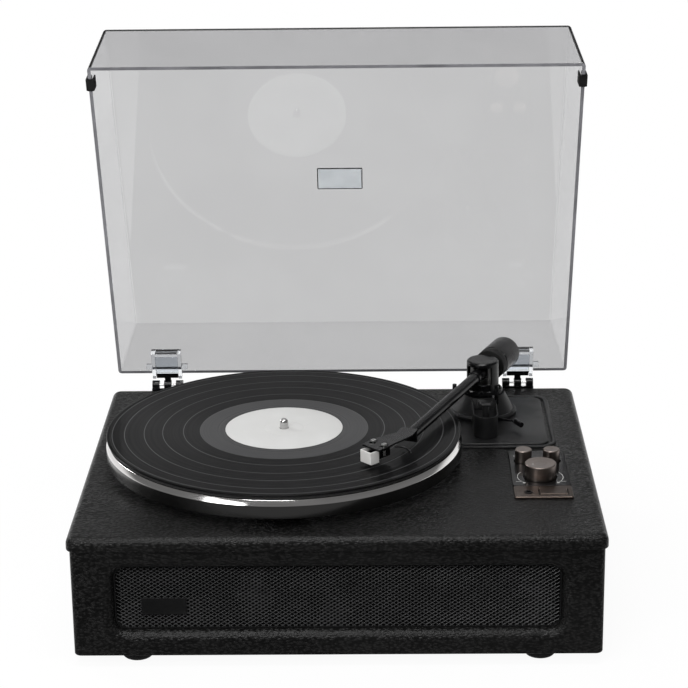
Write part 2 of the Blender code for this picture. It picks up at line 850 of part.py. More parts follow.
def make_slab(player):
    """The wrapped top board with its rounded upper edge and the holes for what passes through it."""
    outline = rounded_rectangle(SLAB_WIDTH, SLAB_DEPTH, SLAB_CORNER, centre=(0, SLAB_DEPTH / 2))
    slab = plate("top_slab", outline, slab_bottom(), SLAB_TOP)
    bevel_at_height(slab, SLAB_ROUND, ROUND_STEPS, SLAB_TOP)
    low = slab_bottom() - OVERRUN
    high = SLAB_TOP + OVERRUN
    holes = [
        (SPINDLE_X, SPINDLE_Y, BEARING_RADIUS + GAP),
        (*motor_place(), MOTOR_HOLE),
        (*on_rear_plate(VOLUME_SHARES), SHAFT_RADIUS + RUN),
        (*on_rear_plate(KNOB_LEFT_SHARES), SHAFT_RADIUS + RUN),
        (*on_rear_plate(KNOB_RIGHT_SHARES), SHAFT_RADIUS + RUN),
        (*on_front_plate(JACK_SHARES), JACK_RADIUS + GAP),
    ]
    cutters = [
        rod("slab_hole_" + str(i), (x, y, low), (x, y, high), radius, helper=True)
        for i, (x, y, radius) in enumerate(holes)
    ]
    stem_x, stem_y = on_front_plate(BUTTON_SHARES)
    reach = BUTTON_STEM / 2 + RUN
    stem_low = (stem_x - reach, stem_y - reach, low)
    stem_high = (stem_x + reach, stem_y + reach, high)
    cutters.append(box("slab_stem_hole", stem_low, stem_high, True))
    cut(slab, *cutters)
    return finish(slab, leatherette(), player)


def make_grille(player):
    """The flat mesh set back in the opening, and the bare plate on it."""
    outline = rounded_rectangle(MESH_WIDTH - 2 * GAP, MESH_HEIGHT - 2 * GAP, MESH_CORNER - GAP)
    mesh_front = cabinet_front() + MESH_DEPTH
    grille = stand(plate("speaker_grille", outline, 0, MESH_THICK))
    finish(grille, matte_black(), player, (0, mesh_front + MESH_THICK, MESH_MIDDLE_Z))
    badge_outline = rounded_rectangle(BADGE_WIDTH, BADGE_HEIGHT, BADGE_CORNER)
    badge = stand(plate("badge_plate", badge_outline, 0, BADGE_THICK))
    finish(badge, gloss_black(), player, (BADGE_X, mesh_front - GAP, BADGE_Z))


def make_speakers(player):
    """Two drivers behind the front wall: a square flange, a basket with its dish, and a magnet."""
    solid = (
        (0, -SPEAKER_FLANGE_THICK / 2),
        (SPEAKER_RADIUS + SPEAKER_WALL, -SPEAKER_FLANGE_THICK / 2),
        (SPEAKER_RADIUS + SPEAKER_WALL, -SPEAKER_FLANGE_THICK - SINK),
        (MAGNET_RADIUS, -SPEAKER_DEPTH),
        (MAGNET_RADIUS, -SPEAKER_DEPTH - MAGNET_DEPTH),
        (0, -SPEAKER_DEPTH - MAGNET_DEPTH),
    )
    dish = (
        (0, OVERRUN),
        (SPEAKER_RADIUS, OVERRUN),
        (SPEAKER_RADIUS, -SPEAKER_WALL),
        (DUST_CAP_RADIUS, -SPEAKER_DISH),
        (0, -SPEAKER_DISH + SPEAKER_WALL),
    )
    for side, x in (("left", -SPEAKER_X), ("right", SPEAKER_X)):
        square = rounded_rectangle(SPEAKER_FLANGE, SPEAKER_FLANGE, SPEAKER_FLANGE_CORNER)
        speaker = plate("speaker_" + side, square, -SPEAKER_FLANGE_THICK, 0)
        join(speaker, turned("speaker_basket_" + side, solid, TURN_SMALL, True))
        cut(speaker, turned("speaker_dish_" + side, dish, TURN_SMALL, True))
        stand(speaker)
        finish(speaker, matte_black(), player, (x, cabinet_front() + CABINET_WALL + GAP, MESH_MIDDLE_Z))


def make_rear_panel(player):
    """The plate in the back wall with its row of round sockets."""
    back = cabinet_back()
    panel = box(
        "rear_panel",
        (REAR_PANEL_X - REAR_PANEL_WIDTH / 2, back - REAR_PANEL_THICK, REAR_PANEL_Z - REAR_PANEL_HEIGHT / 2),
        (REAR_PANEL_X + REAR_PANEL_WIDTH / 2, back, REAR_PANEL_Z + REAR_PANEL_HEIGHT / 2),
    )
    first = REAR_PANEL_X - SOCKET_PITCH * (SOCKET_COUNT - 1) / 2
    for i in range(SOCKET_COUNT):
        x = first + i * SOCKET_PITCH
        inner = (x, back - SOCKET_BEHIND, REAR_PANEL_Z)
        outer = (x, back + SOCKET_OUT, REAR_PANEL_Z)
        floor = (x, back - SOCKET_BEHIND + REAR_PANEL_THICK, REAR_PANEL_Z)
        past = (x, back + SOCKET_OUT + OVERRUN, REAR_PANEL_Z)
        join(panel, rod("socket_" + str(i), inner, outer, SOCKET_RADIUS, helper=True))
        cut(panel, rod("socket_bore_" + str(i), floor, past, SOCKET_BORE, helper=True))
    return finish(panel, gloss_black(), player)


# Platter and drive


def motor_place():
    return (
        SPINDLE_X + MOTOR_DISTANCE * math.cos(MOTOR_BEARING_ANGLE),
        SPINDLE_Y + MOTOR_DISTANCE * math.sin(MOTOR_BEARING_ANGLE),
    )


def platter_top():
    return PLATTER_BOTTOM + PLATTER_SIDE + PLATTER_BEVEL_HEIGHT


def mat_top():
    return platter_top() + GAP + MAT_THICK


def record_top():
    return mat_top() + GAP + RECORD_THICK


def web_bottom():
    return platter_top() - PLATTER_WEB


def belt_bottom():
    return PLATTER_BOTTOM + DRIVE_RING_CLEAR + BELT_THICK


def make_bearing(player):
    """The bearing barrel in the slab, closed at the bottom."""
    profile = (
        (0, BEARING_FLOOR - BEARING_DEPTH),
        (SPINDLE_RADIUS + GAP, BEARING_FLOOR - BEARING_DEPTH),
        (SPINDLE_RADIUS + GAP, GAP + BEARING_FLANGE_THICK),
        (BEARING_FLANGE_RADIUS, GAP + BEARING_FLANGE_THICK),
        (BEARING_FLANGE_RADIUS, GAP),
        (BEARING_RADIUS, GAP),
        (BEARING_RADIUS, -BEARING_DEPTH),
        (0, -BEARING_DEPTH),
    )
    bearing = turned("platter_bearing", profile, TURN_SMALL)
    return finish(bearing, brass(), player, (SPINDLE_X, SPINDLE_Y, SLAB_TOP))


def make_platter(axis):
    """The cast platter: rim, web, hub and the ring that the belt drives."""
    top = platter_top()
    ring_in = DRIVE_RING_RADIUS - DRIVE_RING_WALL
    ring_low = PLATTER_BOTTOM + DRIVE_RING_CLEAR
    profile = (
        (SPINDLE_RADIUS + GAP, top),
        (PLATTER_RADIUS - PLATTER_BEVEL, top),
        (PLATTER_RADIUS, top - PLATTER_BEVEL_HEIGHT),
        (PLATTER_RADIUS, PLATTER_BOTTOM),
        (PLATTER_RADIUS - PLATTER_RIM, PLATTER_BOTTOM),
        (PLATTER_RADIUS - PLATTER_RIM, web_bottom()),
        (DRIVE_RING_RADIUS, web_bottom()),
        (DRIVE_RING_RADIUS, ring_low),
        (ring_in, ring_low),
        (ring_in, web_bottom()),
        (HUB_RADIUS, web_bottom()),
        (HUB_RADIUS, HUB_BOTTOM),
        (SPINDLE_RADIUS + GAP, HUB_BOTTOM),
    )
    finish(turned("platter", profile, TURN_FINE, closed=True), aluminium(), axis)


def make_spindle(axis):
    """The spindle with the collar that the hub rests on and a rounded point above the record."""
    collar_top = HUB_BOTTOM - GAP
    collar_bottom = GAP + BEARING_FLANGE_THICK + GAP
    top = record_top() + SPINDLE_ABOVE
    profile = (
        (0, top),
        (SPINDLE_RADIUS / 2, top - SPINDLE_POINT / 4),
        (SPINDLE_RADIUS, top - SPINDLE_POINT),
        (SPINDLE_RADIUS, collar_top),
        (SPINDLE_COLLAR_RADIUS, collar_top),
        (SPINDLE_COLLAR_RADIUS, collar_bottom),
        (SPINDLE_RADIUS, collar_bottom),
        (SPINDLE_RADIUS, BEARING_FLOOR - BEARING_DEPTH + GAP),
        (0, BEARING_FLOOR - BEARING_DEPTH + GAP),
    )
    finish(turned("spindle", profile, TURN_SMALL), steel(), axis)


def make_record(axis):
    """The mat, the record with its raised bead and dished label area, and the paper label."""
    bore = SPINDLE_RADIUS + GAP
    mat = (
        (bore, mat_top()),
        (MAT_RADIUS, mat_top()),
        (MAT_RADIUS, platter_top() + GAP),
        (bore, platter_top() + GAP),
    )
    finish(turned("slip_mat", mat, TURN_FINE, closed=True), felt(), axis)
    bottom = mat_top() + GAP
    top = record_top()
    shoulder = LABEL_RADIUS + RECORD_BEAD
    disc = (
        (bore, top - RECORD_DISH - LABEL_THICK),
        (LABEL_RADIUS + GAP, top - RECORD_DISH - LABEL_THICK),
        (shoulder, top - RECORD_DISH),
        (RECORD_RADIUS - 2 * RECORD_BEAD, top - RECORD_DISH),
        (RECORD_RADIUS - RECORD_BEAD, top),
        (RECORD_RADIUS - RECORD_DISH, top - RECORD_DISH),
        (RECORD_RADIUS, (top + bottom) / 2),
        (RECORD_RADIUS - RECORD_DISH, bottom),
        (bore, bottom),
    )
    finish(turned("record", disc, TURN_FINE, closed=True), vinyl(), axis)
    label_low = top - RECORD_DISH - LABEL_THICK + GAP
    label = (
        (bore, label_low + LABEL_THICK),
        (LABEL_RADIUS, label_low + LABEL_THICK),
        (LABEL_RADIUS, label_low),
        (bore, label_low),
    )
    finish(turned("record_label", label, TURN_MEDIUM, closed=True), label_paper(), axis)


def belt_outline():
    """Two arcs and their tangents, round the drive ring and the motor pulley."""
    big = DRIVE_RING_RADIUS + GAP
    little = PULLEY_RADIUS + GAP
    contact = math.acos((big - little) / MOTOR_DISTANCE)
    full = 2 * math.pi
    outline = arc((0, 0), big, contact, full - contact, TURN_MEDIUM)
    outline += arc((MOTOR_DISTANCE, 0), little, -contact, contact, ARC_STEPS)
    return outline


def make_belt(player):
    """The flat rubber belt, a band with Solidify outward from what it drives."""
    bm = bmesh.new()
    ring = [bm.verts.new((x, y, belt_bottom())) for x, y in belt_outline()]
    edges = [bm.edges.new((a, b)) for a, b in zip(ring, ring[1:] + ring[:1])]
    raised = bmesh.ops.extrude_edge_only(bm, edges=edges)["geom"]
    risen = [item for item in raised if isinstance(item, bmesh.types.BMVert)]
    bmesh.ops.translate(bm, vec=(0, 0, BELT_WIDTH), verts=risen)
    bmesh.ops.recalc_face_normals(bm, faces=bm.faces)
    mesh = bpy.data.meshes.new("drive_belt")
    bm.to_mesh(mesh)
    bm.free()
    belt = link("drive_belt", mesh)
    shell = belt.modifiers.new("thickness", "SOLIDIFY")
    shell.thickness = BELT_THICK
    shell.offset = 1
    finish(belt, black_rubber(), player, (SPINDLE_X, SPINDLE_Y, SLAB_TOP))
    belt.rotation_euler = (0, 0, MOTOR_BEARING_ANGLE)


def make_motor(player):
    """The motor can under the slab on its round mounting plate."""
    top = -SLAB_THICK - GAP
    bore = MOTOR_SHAFT_RADIUS + GAP
    profile = (
        (bore, top),
        (MOTOR_PLATE_RADIUS, top),
        (MOTOR_PLATE_RADIUS, top - MOTOR_PLATE_THICK),
        (MOTOR_RADIUS, top - MOTOR_PLATE_THICK),
        (MOTOR_RADIUS, top - MOTOR_LENGTH),
        (bore, top - MOTOR_LENGTH),
    )
    motor = turned("motor", profile, TURN_SMALL, closed=True)
    finish(motor, steel(), player, (*motor_place(), SLAB_TOP))


def make_pulley(axis):
    """The pulley and its shaft, turned as one, with a flange above and below the belt."""
    low = belt_bottom() - GAP
    high = belt_bottom() + BELT_WIDTH + GAP
    profile = (
        (0, high + PULLEY_FLANGE_THICK),
        (PULLEY_RADIUS + PULLEY_FLANGE, high + PULLEY_FLANGE_THICK),
        (PULLEY_RADIUS + PULLEY_FLANGE, high),
        (PULLEY_RADIUS, high),
        (PULLEY_RADIUS, low),
        (PULLEY_RADIUS + PULLEY_FLANGE, low),
        (PULLEY_RADIUS + PULLEY_FLANGE, low - PULLEY_FLANGE_THICK),
        (MOTOR_SHAFT_RADIUS, low - PULLEY_FLANGE_THICK),
        (MOTOR_SHAFT_RADIUS, -SLAB_THICK - MOTOR_LENGTH / 2),
        (0, -SLAB_THICK - MOTOR_LENGTH / 2),
    )
    finish(turned("motor_pulley", profile, TURN_SMALL), brass(), axis)


# Tonearm board


def make_board(player):
    """The raised board that carries the tonearm, and the rounded trim round it."""
    width = BOARD_WIDTH
    depth = BOARD_DEPTH
    middle = ((BOARD_LEFT + BOARD_RIGHT) / 2, (BOARD_FRONT + BOARD_BACK) / 2)
    board = plate(
        "tonearm_board",
        rounded_rectangle(width, depth, BOARD_CORNER, centre=middle),
        SLAB_TOP + GAP,
        SLAB_TOP + BOARD_HEIGHT,
    )
    bevel_at_height(board, BOARD_EDGE, EDGE_STEPS, SLAB_TOP + BOARD_HEIGHT)
    finish(board, matte_black(), player)
    inner = MOAT
    outer = MOAT + TRIM_WIDTH
    trim = plate(
        "board_trim",
        rounded_rectangle(width + 2 * outer, depth + 2 * outer, BOARD_CORNER + outer, centre=middle),
        SLAB_TOP + GAP,
        SLAB_TOP + TRIM_HEIGHT,
    )
    bevel_at_height(trim, TRIM_EDGE, EDGE_STEPS, SLAB_TOP + TRIM_HEIGHT)
    hole = plate(
        "trim_cutter",
        rounded_rectangle(width + 2 * inner, depth + 2 * inner, BOARD_CORNER + inner, centre=middle),
        SLAB_TOP - OVERRUN,
        SLAB_TOP + TRIM_HEIGHT + OVERRUN,
        True,
    )
    finish(cut(trim, hole), matte_black(), player)


# Tonearm pillar


def trough_outline(shrink):
    """A strip from the cone forward to a round end."""
    radius = TROUGH_RADIUS - shrink
    end = arc((0, -TROUGH_FORWARD), radius, math.pi, 2 * math.pi, 2 * ARC_STEPS)
    return end + [(radius, -TROUGH_BACK + shrink), (-radius, -TROUGH_BACK + shrink)]


def lever_root():
    return Vector((TROUGH_RADIUS + LEVER_OUT, -LEVER_ROOT_FORWARD, LEVER_HEIGHT))


def lever_points():
    """The lever's shaft end, its elbow and the two ends of its grip, from the tonearm's axis."""
    root = lever_root()
    elbow = root + Vector((LEVER_ACROSS, -LEVER_FORWARD, 0))
    along = (elbow - root).normalized()
    grip = Vector((math.cos(LEVER_GRIP_ANGLE), math.sin(LEVER_GRIP_ANGLE), 0))
    grip_start = elbow + grip * LEVER_RADIUS
    return root - along * LEVER_SHAFT_IN, elbow, grip_start, grip_start + grip * LEVER_GRIP_LENGTH


def make_pillar(arm_place):
    """The pillar: a flange, a cone and the open trough that holds the arm rest."""
    foot = BOARD_HEIGHT + GAP
    profile = (
        (0, CONE_TOP),
        (CONE_TOP_RADIUS, CONE_TOP),
        (CONE_FOOT_RADIUS, BASE_FLANGE_TOP),
        (BASE_FLANGE_RADIUS - BASE_FLANGE_ROUND, BASE_FLANGE_TOP),
        (BASE_FLANGE_RADIUS, BASE_FLANGE_TOP - BASE_FLANGE_ROUND),
        (BASE_FLANGE_RADIUS, foot),
        (0, foot),
    )
    pillar = turned("tonearm_base", profile, TURN_MEDIUM)
    join(pillar, plate("trough_body", trough_outline(0), foot, TROUGH_TOP, True))
    cavity = plate(
        "trough_cutter", trough_outline(TROUGH_WALL), TROUGH_FLOOR, TROUGH_TOP + OVERRUN, True
    )
    shaft = rod(
        "arm_shaft_bore",
        (0, 0, YOKE_SHAFT_BOTTOM - GAP),
        (0, 0, CONE_TOP + OVERRUN),
        YOKE_SHAFT_RADIUS + GAP,
        helper=True,
    )
    post = rod(
        "lift_post_bore",
        (LIFT_POST_X, LIFT_POST_Y, LIFT_POST_BOTTOM - GAP),
        (LIFT_POST_X, LIFT_POST_Y, CONE_TOP + OVERRUN),
        LIFT_POST_RADIUS + GAP,
        helper=True,
    )
    inner, elbow, _, _ = lever_points()
    along = (elbow - inner).normalized()
    lever = rod("lever_bore", inner - along * GAP, elbow, LEVER_RADIUS + GAP, helper=True)
    cut(pillar, cavity, shaft, post, lever)
    finish(pillar, matte_black(), arm_place)


def slot_cutter(name, start, end):
    """A sector that opens the housing's wall between two plan angles from the front."""
    reach = HOUSING_RADIUS + OVERRUN
    front = -math.pi / 2
    outline = [(0, 0)] + arc((0, 0), reach, front + start, front + end, 2 * ARC_STEPS)
    return plate(name, outline, SLOT_BOTTOM, SLOT_TOP, True)


def make_housing(arm_place):
    """The fixed housing round the arm's pivot, slotted in front and behind, on a round collar."""
    floor = CONE_TOP + GAP
    profile = (
        (0, HOUSING_TOP),
        (HOUSING_RADIUS - HOUSING_CHAMFER, HOUSING_TOP),
        (HOUSING_RADIUS, HOUSING_TOP - HOUSING_CHAMFER),
        (HOUSING_RADIUS, COLLAR_TOP),
        (COLLAR_RADIUS - COLLAR_ROUND, COLLAR_TOP),
        (COLLAR_RADIUS, COLLAR_TOP - COLLAR_ROUND),
        (COLLAR_RADIUS, floor),
        (YOKE_SHAFT_RADIUS + GAP, floor),
        (YOKE_SHAFT_RADIUS + GAP, HOUSING_FLOOR),
        (HOUSING_RADIUS - HOUSING_WALL, HOUSING_FLOOR),
        (HOUSING_RADIUS - HOUSING_WALL, HOUSING_TOP - HOUSING_ROOF),
        (0, HOUSING_TOP - HOUSING_ROOF),
    )
    housing = turned("arm_housing", profile, TURN_MEDIUM)
    front = slot_cutter("front_slot", SLOT_FROM, SLOT_TO)
    rear = slot_cutter("rear_slot", SLOT_FROM + math.pi, SLOT_TO + math.pi)
    cut(housing, front, rear)
    finish(housing, matte_black(), arm_place)


def make_clip(arm_place):
    """The arm rest: a stem and a shallow U with a low lip toward the record and a tall stop outside."""
    half = CLIP_WIDTH / 2
    inner = half - CLIP_THICK
    floor = CLIP_BOTTOM + CLIP_THICK
    outline = (
        (-half, CLIP_BOTTOM),
        (half, CLIP_BOTTOM),
        (half, CLIP_STOP),
        (inner, CLIP_STOP),
        (inner, floor + CLIP_THICK),
        (inner - CLIP_THICK, floor),
        (CLIP_THICK - inner, floor),
        (-inner, floor + CLIP_THICK),
        (-inner, CLIP_LIP),
        (-half, CLIP_LIP),
    )
    clip = plate("rest_clip", outline, -CLIP_DEPTH / 2, CLIP_DEPTH / 2)
    clip.data.transform(Matrix.Rotation(math.pi / 2, 4, "X"))
    stem_low = (0, 0, TROUGH_FLOOR + GAP)
    stem_high = (0, 0, CLIP_BOTTOM + SINK)
    stem = rod("clip_stem", stem_low, stem_high, CLIP_STEM_RADIUS, helper=True)
    join(clip, stem)
    finish(clip, gloss_black(), arm_place, (0, -TROUGH_FORWARD, 0))


def make_platform(arm_place):
    """The cueing lift: a curved bar under the arm, a knob at its end and the post that raises it."""
    inner = LIFT_BAR_RADIUS - LIFT_BAR_WIDTH / 2
    outer = LIFT_BAR_RADIUS + LIFT_BAR_WIDTH / 2
    front = -math.pi / 2
    outline = arc((0, 0), outer, front + LIFT_BAR_FROM, front + LIFT_BAR_TO, 2 * ARC_STEPS)
    outline += arc((0, 0), inner, front + LIFT_BAR_TO, front + LIFT_BAR_FROM, 2 * ARC_STEPS)
    bar = plate("cue_platform", outline, LIFT_BAR_BOTTOM, LIFT_BAR_TOP)
    post = rod(
        "lift_post",
        (LIFT_POST_X, LIFT_POST_Y, LIFT_POST_BOTTOM),
        (LIFT_POST_X, LIFT_POST_Y, LIFT_KNOB_TOP),
        LIFT_POST_RADIUS,
        helper=True,
    )
    bend = LIFT_BAR_RADIUS * math.cos(LIFT_BAR_TO)
    bridge = box(
        "lift_bridge",
        (LIFT_POST_X - LIFT_BAR_WIDTH / 2, -bend, LIFT_BAR_BOTTOM + SINK),
        (LIFT_POST_X + LIFT_BAR_WIDTH / 2, LIFT_POST_Y, LIFT_BAR_TOP - SINK),
        True,
    )
    knob_x = LIFT_BAR_RADIUS * math.sin(LIFT_BAR_FROM)
    knob_y = -LIFT_BAR_RADIUS * math.cos(LIFT_BAR_FROM)
    knob = rod(
        "lift_knob",
        (knob_x, knob_y, LIFT_BAR_BOTTOM - SINK),
        (knob_x, knob_y, LIFT_KNOB_TOP),
        LIFT_KNOB_RADIUS,
        helper=True,
    )
    join(bar, post, bridge, knob)
    finish(bar, gloss_black(), arm_place)


def make_lever(arm_place):
    """The cueing lever: a shaft in the pillar's side, bent to a round grip."""
    inner, elbow, grip_start, grip_end = lever_points()
    pivot = lever_root()
    grip_middle = (grip_start + grip_end) / 2
    lever = wire("cue_lever", [inner - pivot, elbow - pivot, grip_middle - pivot], LEVER_RADIUS)
    join(lever, rod("lever_grip", grip_start - pivot, grip_end - pivot, LEVER_GRIP_RADIUS, helper=True))
    finish(lever, gloss_black(), arm_place, pivot)


# Tonearm, drawn along -Y from its pivot


def make_yoke(swing):
    """The yoke that turns in the housing: a shaft, a disc and two cheeks for the cross pin."""
    disc_low = HOUSING_FLOOR + GAP
    profile = (
        (0, disc_low + YOKE_DISC),
        (YOKE_RADIUS, disc_low + YOKE_DISC),
        (YOKE_RADIUS, disc_low),
        (YOKE_SHAFT_RADIUS, disc_low),
        (YOKE_SHAFT_RADIUS, YOKE_SHAFT_BOTTOM),
        (0, YOKE_SHAFT_BOTTOM),
    )
    yoke = turned("arm_yoke", profile, TURN_SMALL)
    half = YOKE_CHEEK_DEPTH / 2
    for side in (-1, 1):
        edges = sorted((side * YOKE_CHEEK_IN, side * (YOKE_CHEEK_IN + YOKE_CHEEK_THICK)))
        cheek = box(
            "yoke_cheek_" + str(side + 1),
            (edges[0], -half, disc_low + YOKE_DISC - SINK),
            (edges[1], half, YOKE_TOP),
            True,
        )
        join(yoke, cheek)
    reach = YOKE_CHEEK_IN + YOKE_CHEEK_THICK + OVERRUN
    left = (-reach, 0, ARM_AXIS_HEIGHT)
    right = (reach, 0, ARM_AXIS_HEIGHT)
    pin = rod("yoke_bore", left, right, PIN_RADIUS + GAP, helper=True)
    finish(cut(yoke, pin), steel(), swing)


def make_pin(swing):
    reach = YOKE_CHEEK_IN + YOKE_CHEEK_THICK
    pin = rod("cross_pin", (-reach, 0, 0), (reach, 0, 0), PIN_RADIUS)
    finish(smooth(pin), steel(), swing, (0, 0, ARM_AXIS_HEIGHT))


def make_tube(tilt):
    """The arm in one piece: the stub for the weight, the sleeve at the pivot and the tube."""
    profile = (
        (0, WEIGHT_END - WEIGHT_BACK_WALL - GAP),
        (STUB_RADIUS, WEIGHT_END - WEIGHT_BACK_WALL - GAP),
        (STUB_RADIUS, SLEEVE_BACK),
        (SLEEVE_RADIUS, SLEEVE_BACK),
        (SLEEVE_RADIUS, -SLEEVE_END),
        (TUBE_RADIUS, -SLEEVE_END),
        (TUBE_RADIUS, GAP - HEADSHELL_REAR),
        (0, GAP - HEADSHELL_REAR),
    )
    tube = turned("arm_tube", profile, TURN_SMALL)
    reach = SLEEVE_RADIUS + OVERRUN
    bore = rod("tube_pin_bore", (-reach, 0, 0), (reach, 0, 0), PIN_RADIUS + GAP, helper=True)
    finish(cut(tube, bore), matte_black(), tilt)
    tube.rotation_euler = (-math.pi / 2, 0, 0)


def make_weight(axis):
    """The counterweight and the dark ring in front of it, on the arm's stub."""
    bore = STUB_RADIUS + GAP
    ring = (
        (bore, WEIGHT_RING_END - GAP),
        (WEIGHT_RING_RADIUS, WEIGHT_RING_END - GAP),
        (WEIGHT_RING_RADIUS, WEIGHT_RING_START),
        (bore, WEIGHT_RING_START),
    )
    piece = finish(turned("counterweight_ring", ring, TURN_MEDIUM, closed=True), black_rubber(), axis)
    piece.rotation_euler = (-math.pi / 2, 0, 0)
    body = (
        (0, WEIGHT_END),
        (WEIGHT_RADIUS - WEIGHT_CHAMFER, WEIGHT_END),
        (WEIGHT_RADIUS, WEIGHT_END - WEIGHT_CHAMFER),
        (WEIGHT_RADIUS, WEIGHT_RING_END + WEIGHT_CHAMFER),
        (WEIGHT_RADIUS - WEIGHT_CHAMFER, WEIGHT_RING_END),
        (bore, WEIGHT_RING_END),
        (bore, WEIGHT_END - WEIGHT_BACK_WALL),
        (0, WEIGHT_END - WEIGHT_BACK_WALL),
    )
    piece = finish(turned("counterweight", body, TURN_MEDIUM), matte_black(), axis)
    piece.rotation_euler = (-math.pi / 2, 0, 0)


def headshell_bottom():
    return TUBE_RADIUS + GAP


def make_headshell(tilt):
    """The headshell: a thin plate with two slots and the wall that takes the tube."""
    low = headshell_bottom()
    high = low + HEADSHELL_THICK
    outline = [
        (across * HEADSHELL_WIDTH, -HEADSHELL_REAR - along * HEADSHELL_LENGTH)
        for along, across in HEADSHELL_OUTLINE_SHARES
    ]
    shell = plate("headshell", outline, low, high)
    half = HEADSHELL_WALL_WIDTH / 2
    wall = box(
        "headshell_wall",
        (-half, -HEADSHELL_REAR - HEADSHELL_WALL_THICK, low - HEADSHELL_WALL_DROP),
        (half, -HEADSHELL_REAR, low + SINK),
        True,
    )
    join(shell, wall)
    for side in (-1, 1):
        slot = box(
            "mount_slot_" + str(side + 1),
            (-SCREW_RADIUS - SCREW_SLOT / 2, -MOUNT_SLOT_LENGTH / 2, low - OVERRUN),
            (SCREW_RADIUS + SCREW_SLOT / 2, MOUNT_SLOT_LENGTH / 2, high + OVERRUN),
            True,
        )
        combine(shell, slot, "DIFFERENCE")
        slot.location = (*mount_point(side * SCREW_PITCH / 2, 0), 0)
        slot.rotation_euler = (0, 0, OFFSET_ANGLE)
    finish(shell, matte_black(), tilt)


def mount_point(across, ahead):
    """A place on the cartridge's own axes, given on the arm's axes."""
    side = Vector((math.cos(OFFSET_ANGLE), math.sin(OFFSET_ANGLE)))
    front = Vector((math.sin(OFFSET_ANGLE), -math.cos(OFFSET_ANGLE)))
    return Vector(on_headshell(MOUNT_SHARES)) + side * across + front * ahead


def make_finger_lift(tilt):
    """The curved finger lift, a wire beside the headshell that bows out and down."""
    low = headshell_bottom() - GAP - LIFT_WIRE_RADIUS
    start = on_headshell(LIFT_START_SHARES)
    points = []
    for i in range(ARC_STEPS + 1):
        share = i / ARC_STEPS
        across = start[0] + LIFT_REACH * share
        along = start[1] + LIFT_BOW * math.sin(math.pi * share)
        points.append((across, along, low - LIFT_DROP * share * share))
    finish(smooth(wire("finger_lift", points, LIFT_WIRE_RADIUS)), matte_black(), tilt)


def make_cartridge(head):
    """The cartridge: a black body with mounting ears, and a white cap over its nose."""
    ear_top = headshell_bottom() - GAP
    ear_low = ear_top - EAR_THICK
    half = CARTRIDGE_WIDTH / 2
    front = (-half, -CARTRIDGE_FRONT, CARTRIDGE_BOTTOM)
    body = box("cartridge_body", front, (half, CARTRIDGE_BACK, ear_low + SINK))
    nose = box(
        "nose_cutter",
        (-EAR_WIDTH, -CARTRIDGE_FRONT - OVERRUN, SHELL_TOP - SHELL_LIP),
        (EAR_WIDTH, -EAR_DEPTH / 2 - OVERRUN, ear_top + OVERRUN),
        True,
    )
    cut(body, nose)
    ear_front = (-EAR_WIDTH / 2, -EAR_DEPTH / 2, ear_low)
    ears = box("cartridge_ears", ear_front, (EAR_WIDTH / 2, EAR_DEPTH / 2, ear_top), True)
    join(body, ears)
    for side in (-1, 1):
        x = side * SCREW_PITCH / 2
        hole = rod(
            "ear_hole_" + str(side + 1),
            (x, 0, ear_low - OVERRUN),
            (x, 0, ear_top + OVERRUN),
            SCREW_RADIUS + GAP,
            helper=True,
        )
        cut(body, hole)
    finish(body, gloss_black(), head)

    outer = SHELL_WIDTH / 2
    cap_front = (-outer, -SHELL_FRONT, SHELL_BOTTOM)
    cap = box("cartridge_cap", cap_front, (outer, SHELL_DEPTH - SHELL_FRONT, SHELL_TOP))
    bevel_where(cap, SHELL_WALL, 3, lambda co: co.z < 0 and co.y < SHELL_WALL - SHELL_FRONT)
    hollow = box(
        "cap_cutter",
        (SHELL_WALL - outer, SHELL_WALL - SHELL_FRONT, CARTRIDGE_BOTTOM - GAP),
        (outer - SHELL_WALL, SHELL_DEPTH - SHELL_FRONT + OVERRUN, SHELL_TOP + OVERRUN),
        True,
    )
    finish(cut(cap, hollow), white_plastic(), head)


def make_stylus(head):
    """The stylus: a block under the body and the thin cantilever down to the record."""
    top = CARTRIDGE_BOTTOM - GAP
    low = top - STYLUS_BLOCK_DROP
    half = STYLUS_BLOCK_WIDTH / 2
    back = STYLUS_BLOCK_LENGTH - STYLUS_BLOCK_FRONT
    stylus = box("stylus", (-half, -STYLUS_BLOCK_FRONT, low), (half, back, top))
    tip_drop = record_top() + STYLUS_TIP - stylus_height()
    start = (0, SINK - STYLUS_BLOCK_FRONT, low + CANTILEVER_RADIUS)
    bend = (0, CANTILEVER_RADIUS - STYLUS_TIP_FRONT, tip_drop + 2 * CANTILEVER_RADIUS)
    tip = (0, -STYLUS_TIP_FRONT, tip_drop)
    arm = wire("cantilever", [start, bend, tip], CANTILEVER_RADIUS, True)
    finish(join(stylus, arm), steel(), head)


def stylus_height():
    """The height above the slab of the arm's axis plane at the stylus."""
    return ARM_AXIS_HEIGHT + math.sin(ARM_SLOPE) * on_headshell(MOUNT_SHARES)[1]


def make_screws(head):
    """Two slotted screws that hold the cartridge under the headshell."""
    seat = headshell_bottom() + HEADSHELL_THICK + GAP
    for side, name in ((-1, "left"), (1, "right")):
        profile = (
            (0, seat + SCREW_HEAD),
            (SCREW_HEAD_RADIUS, seat + SCREW_HEAD),
            (SCREW_HEAD_RADIUS, seat),
            (SCREW_RADIUS, seat),
            (SCREW_RADIUS, seat - SCREW_LENGTH),
            (0, seat - SCREW_LENGTH),
        )
        screw = turned("headshell_screw_" + name, profile, TURN_SMALL // 2)
        reach = SCREW_HEAD_RADIUS + OVERRUN
        slot = box(
            "screw_slot_" + name,
            (-reach, -SCREW_SLOT / 2, seat + SCREW_HEAD / 2),
            (reach, SCREW_SLOT / 2, seat + SCREW_HEAD + OVERRUN),
            True,
        )
        finish(cut(screw, slot), steel(), head, (side * SCREW_PITCH / 2, 0, 0))


# Control panel


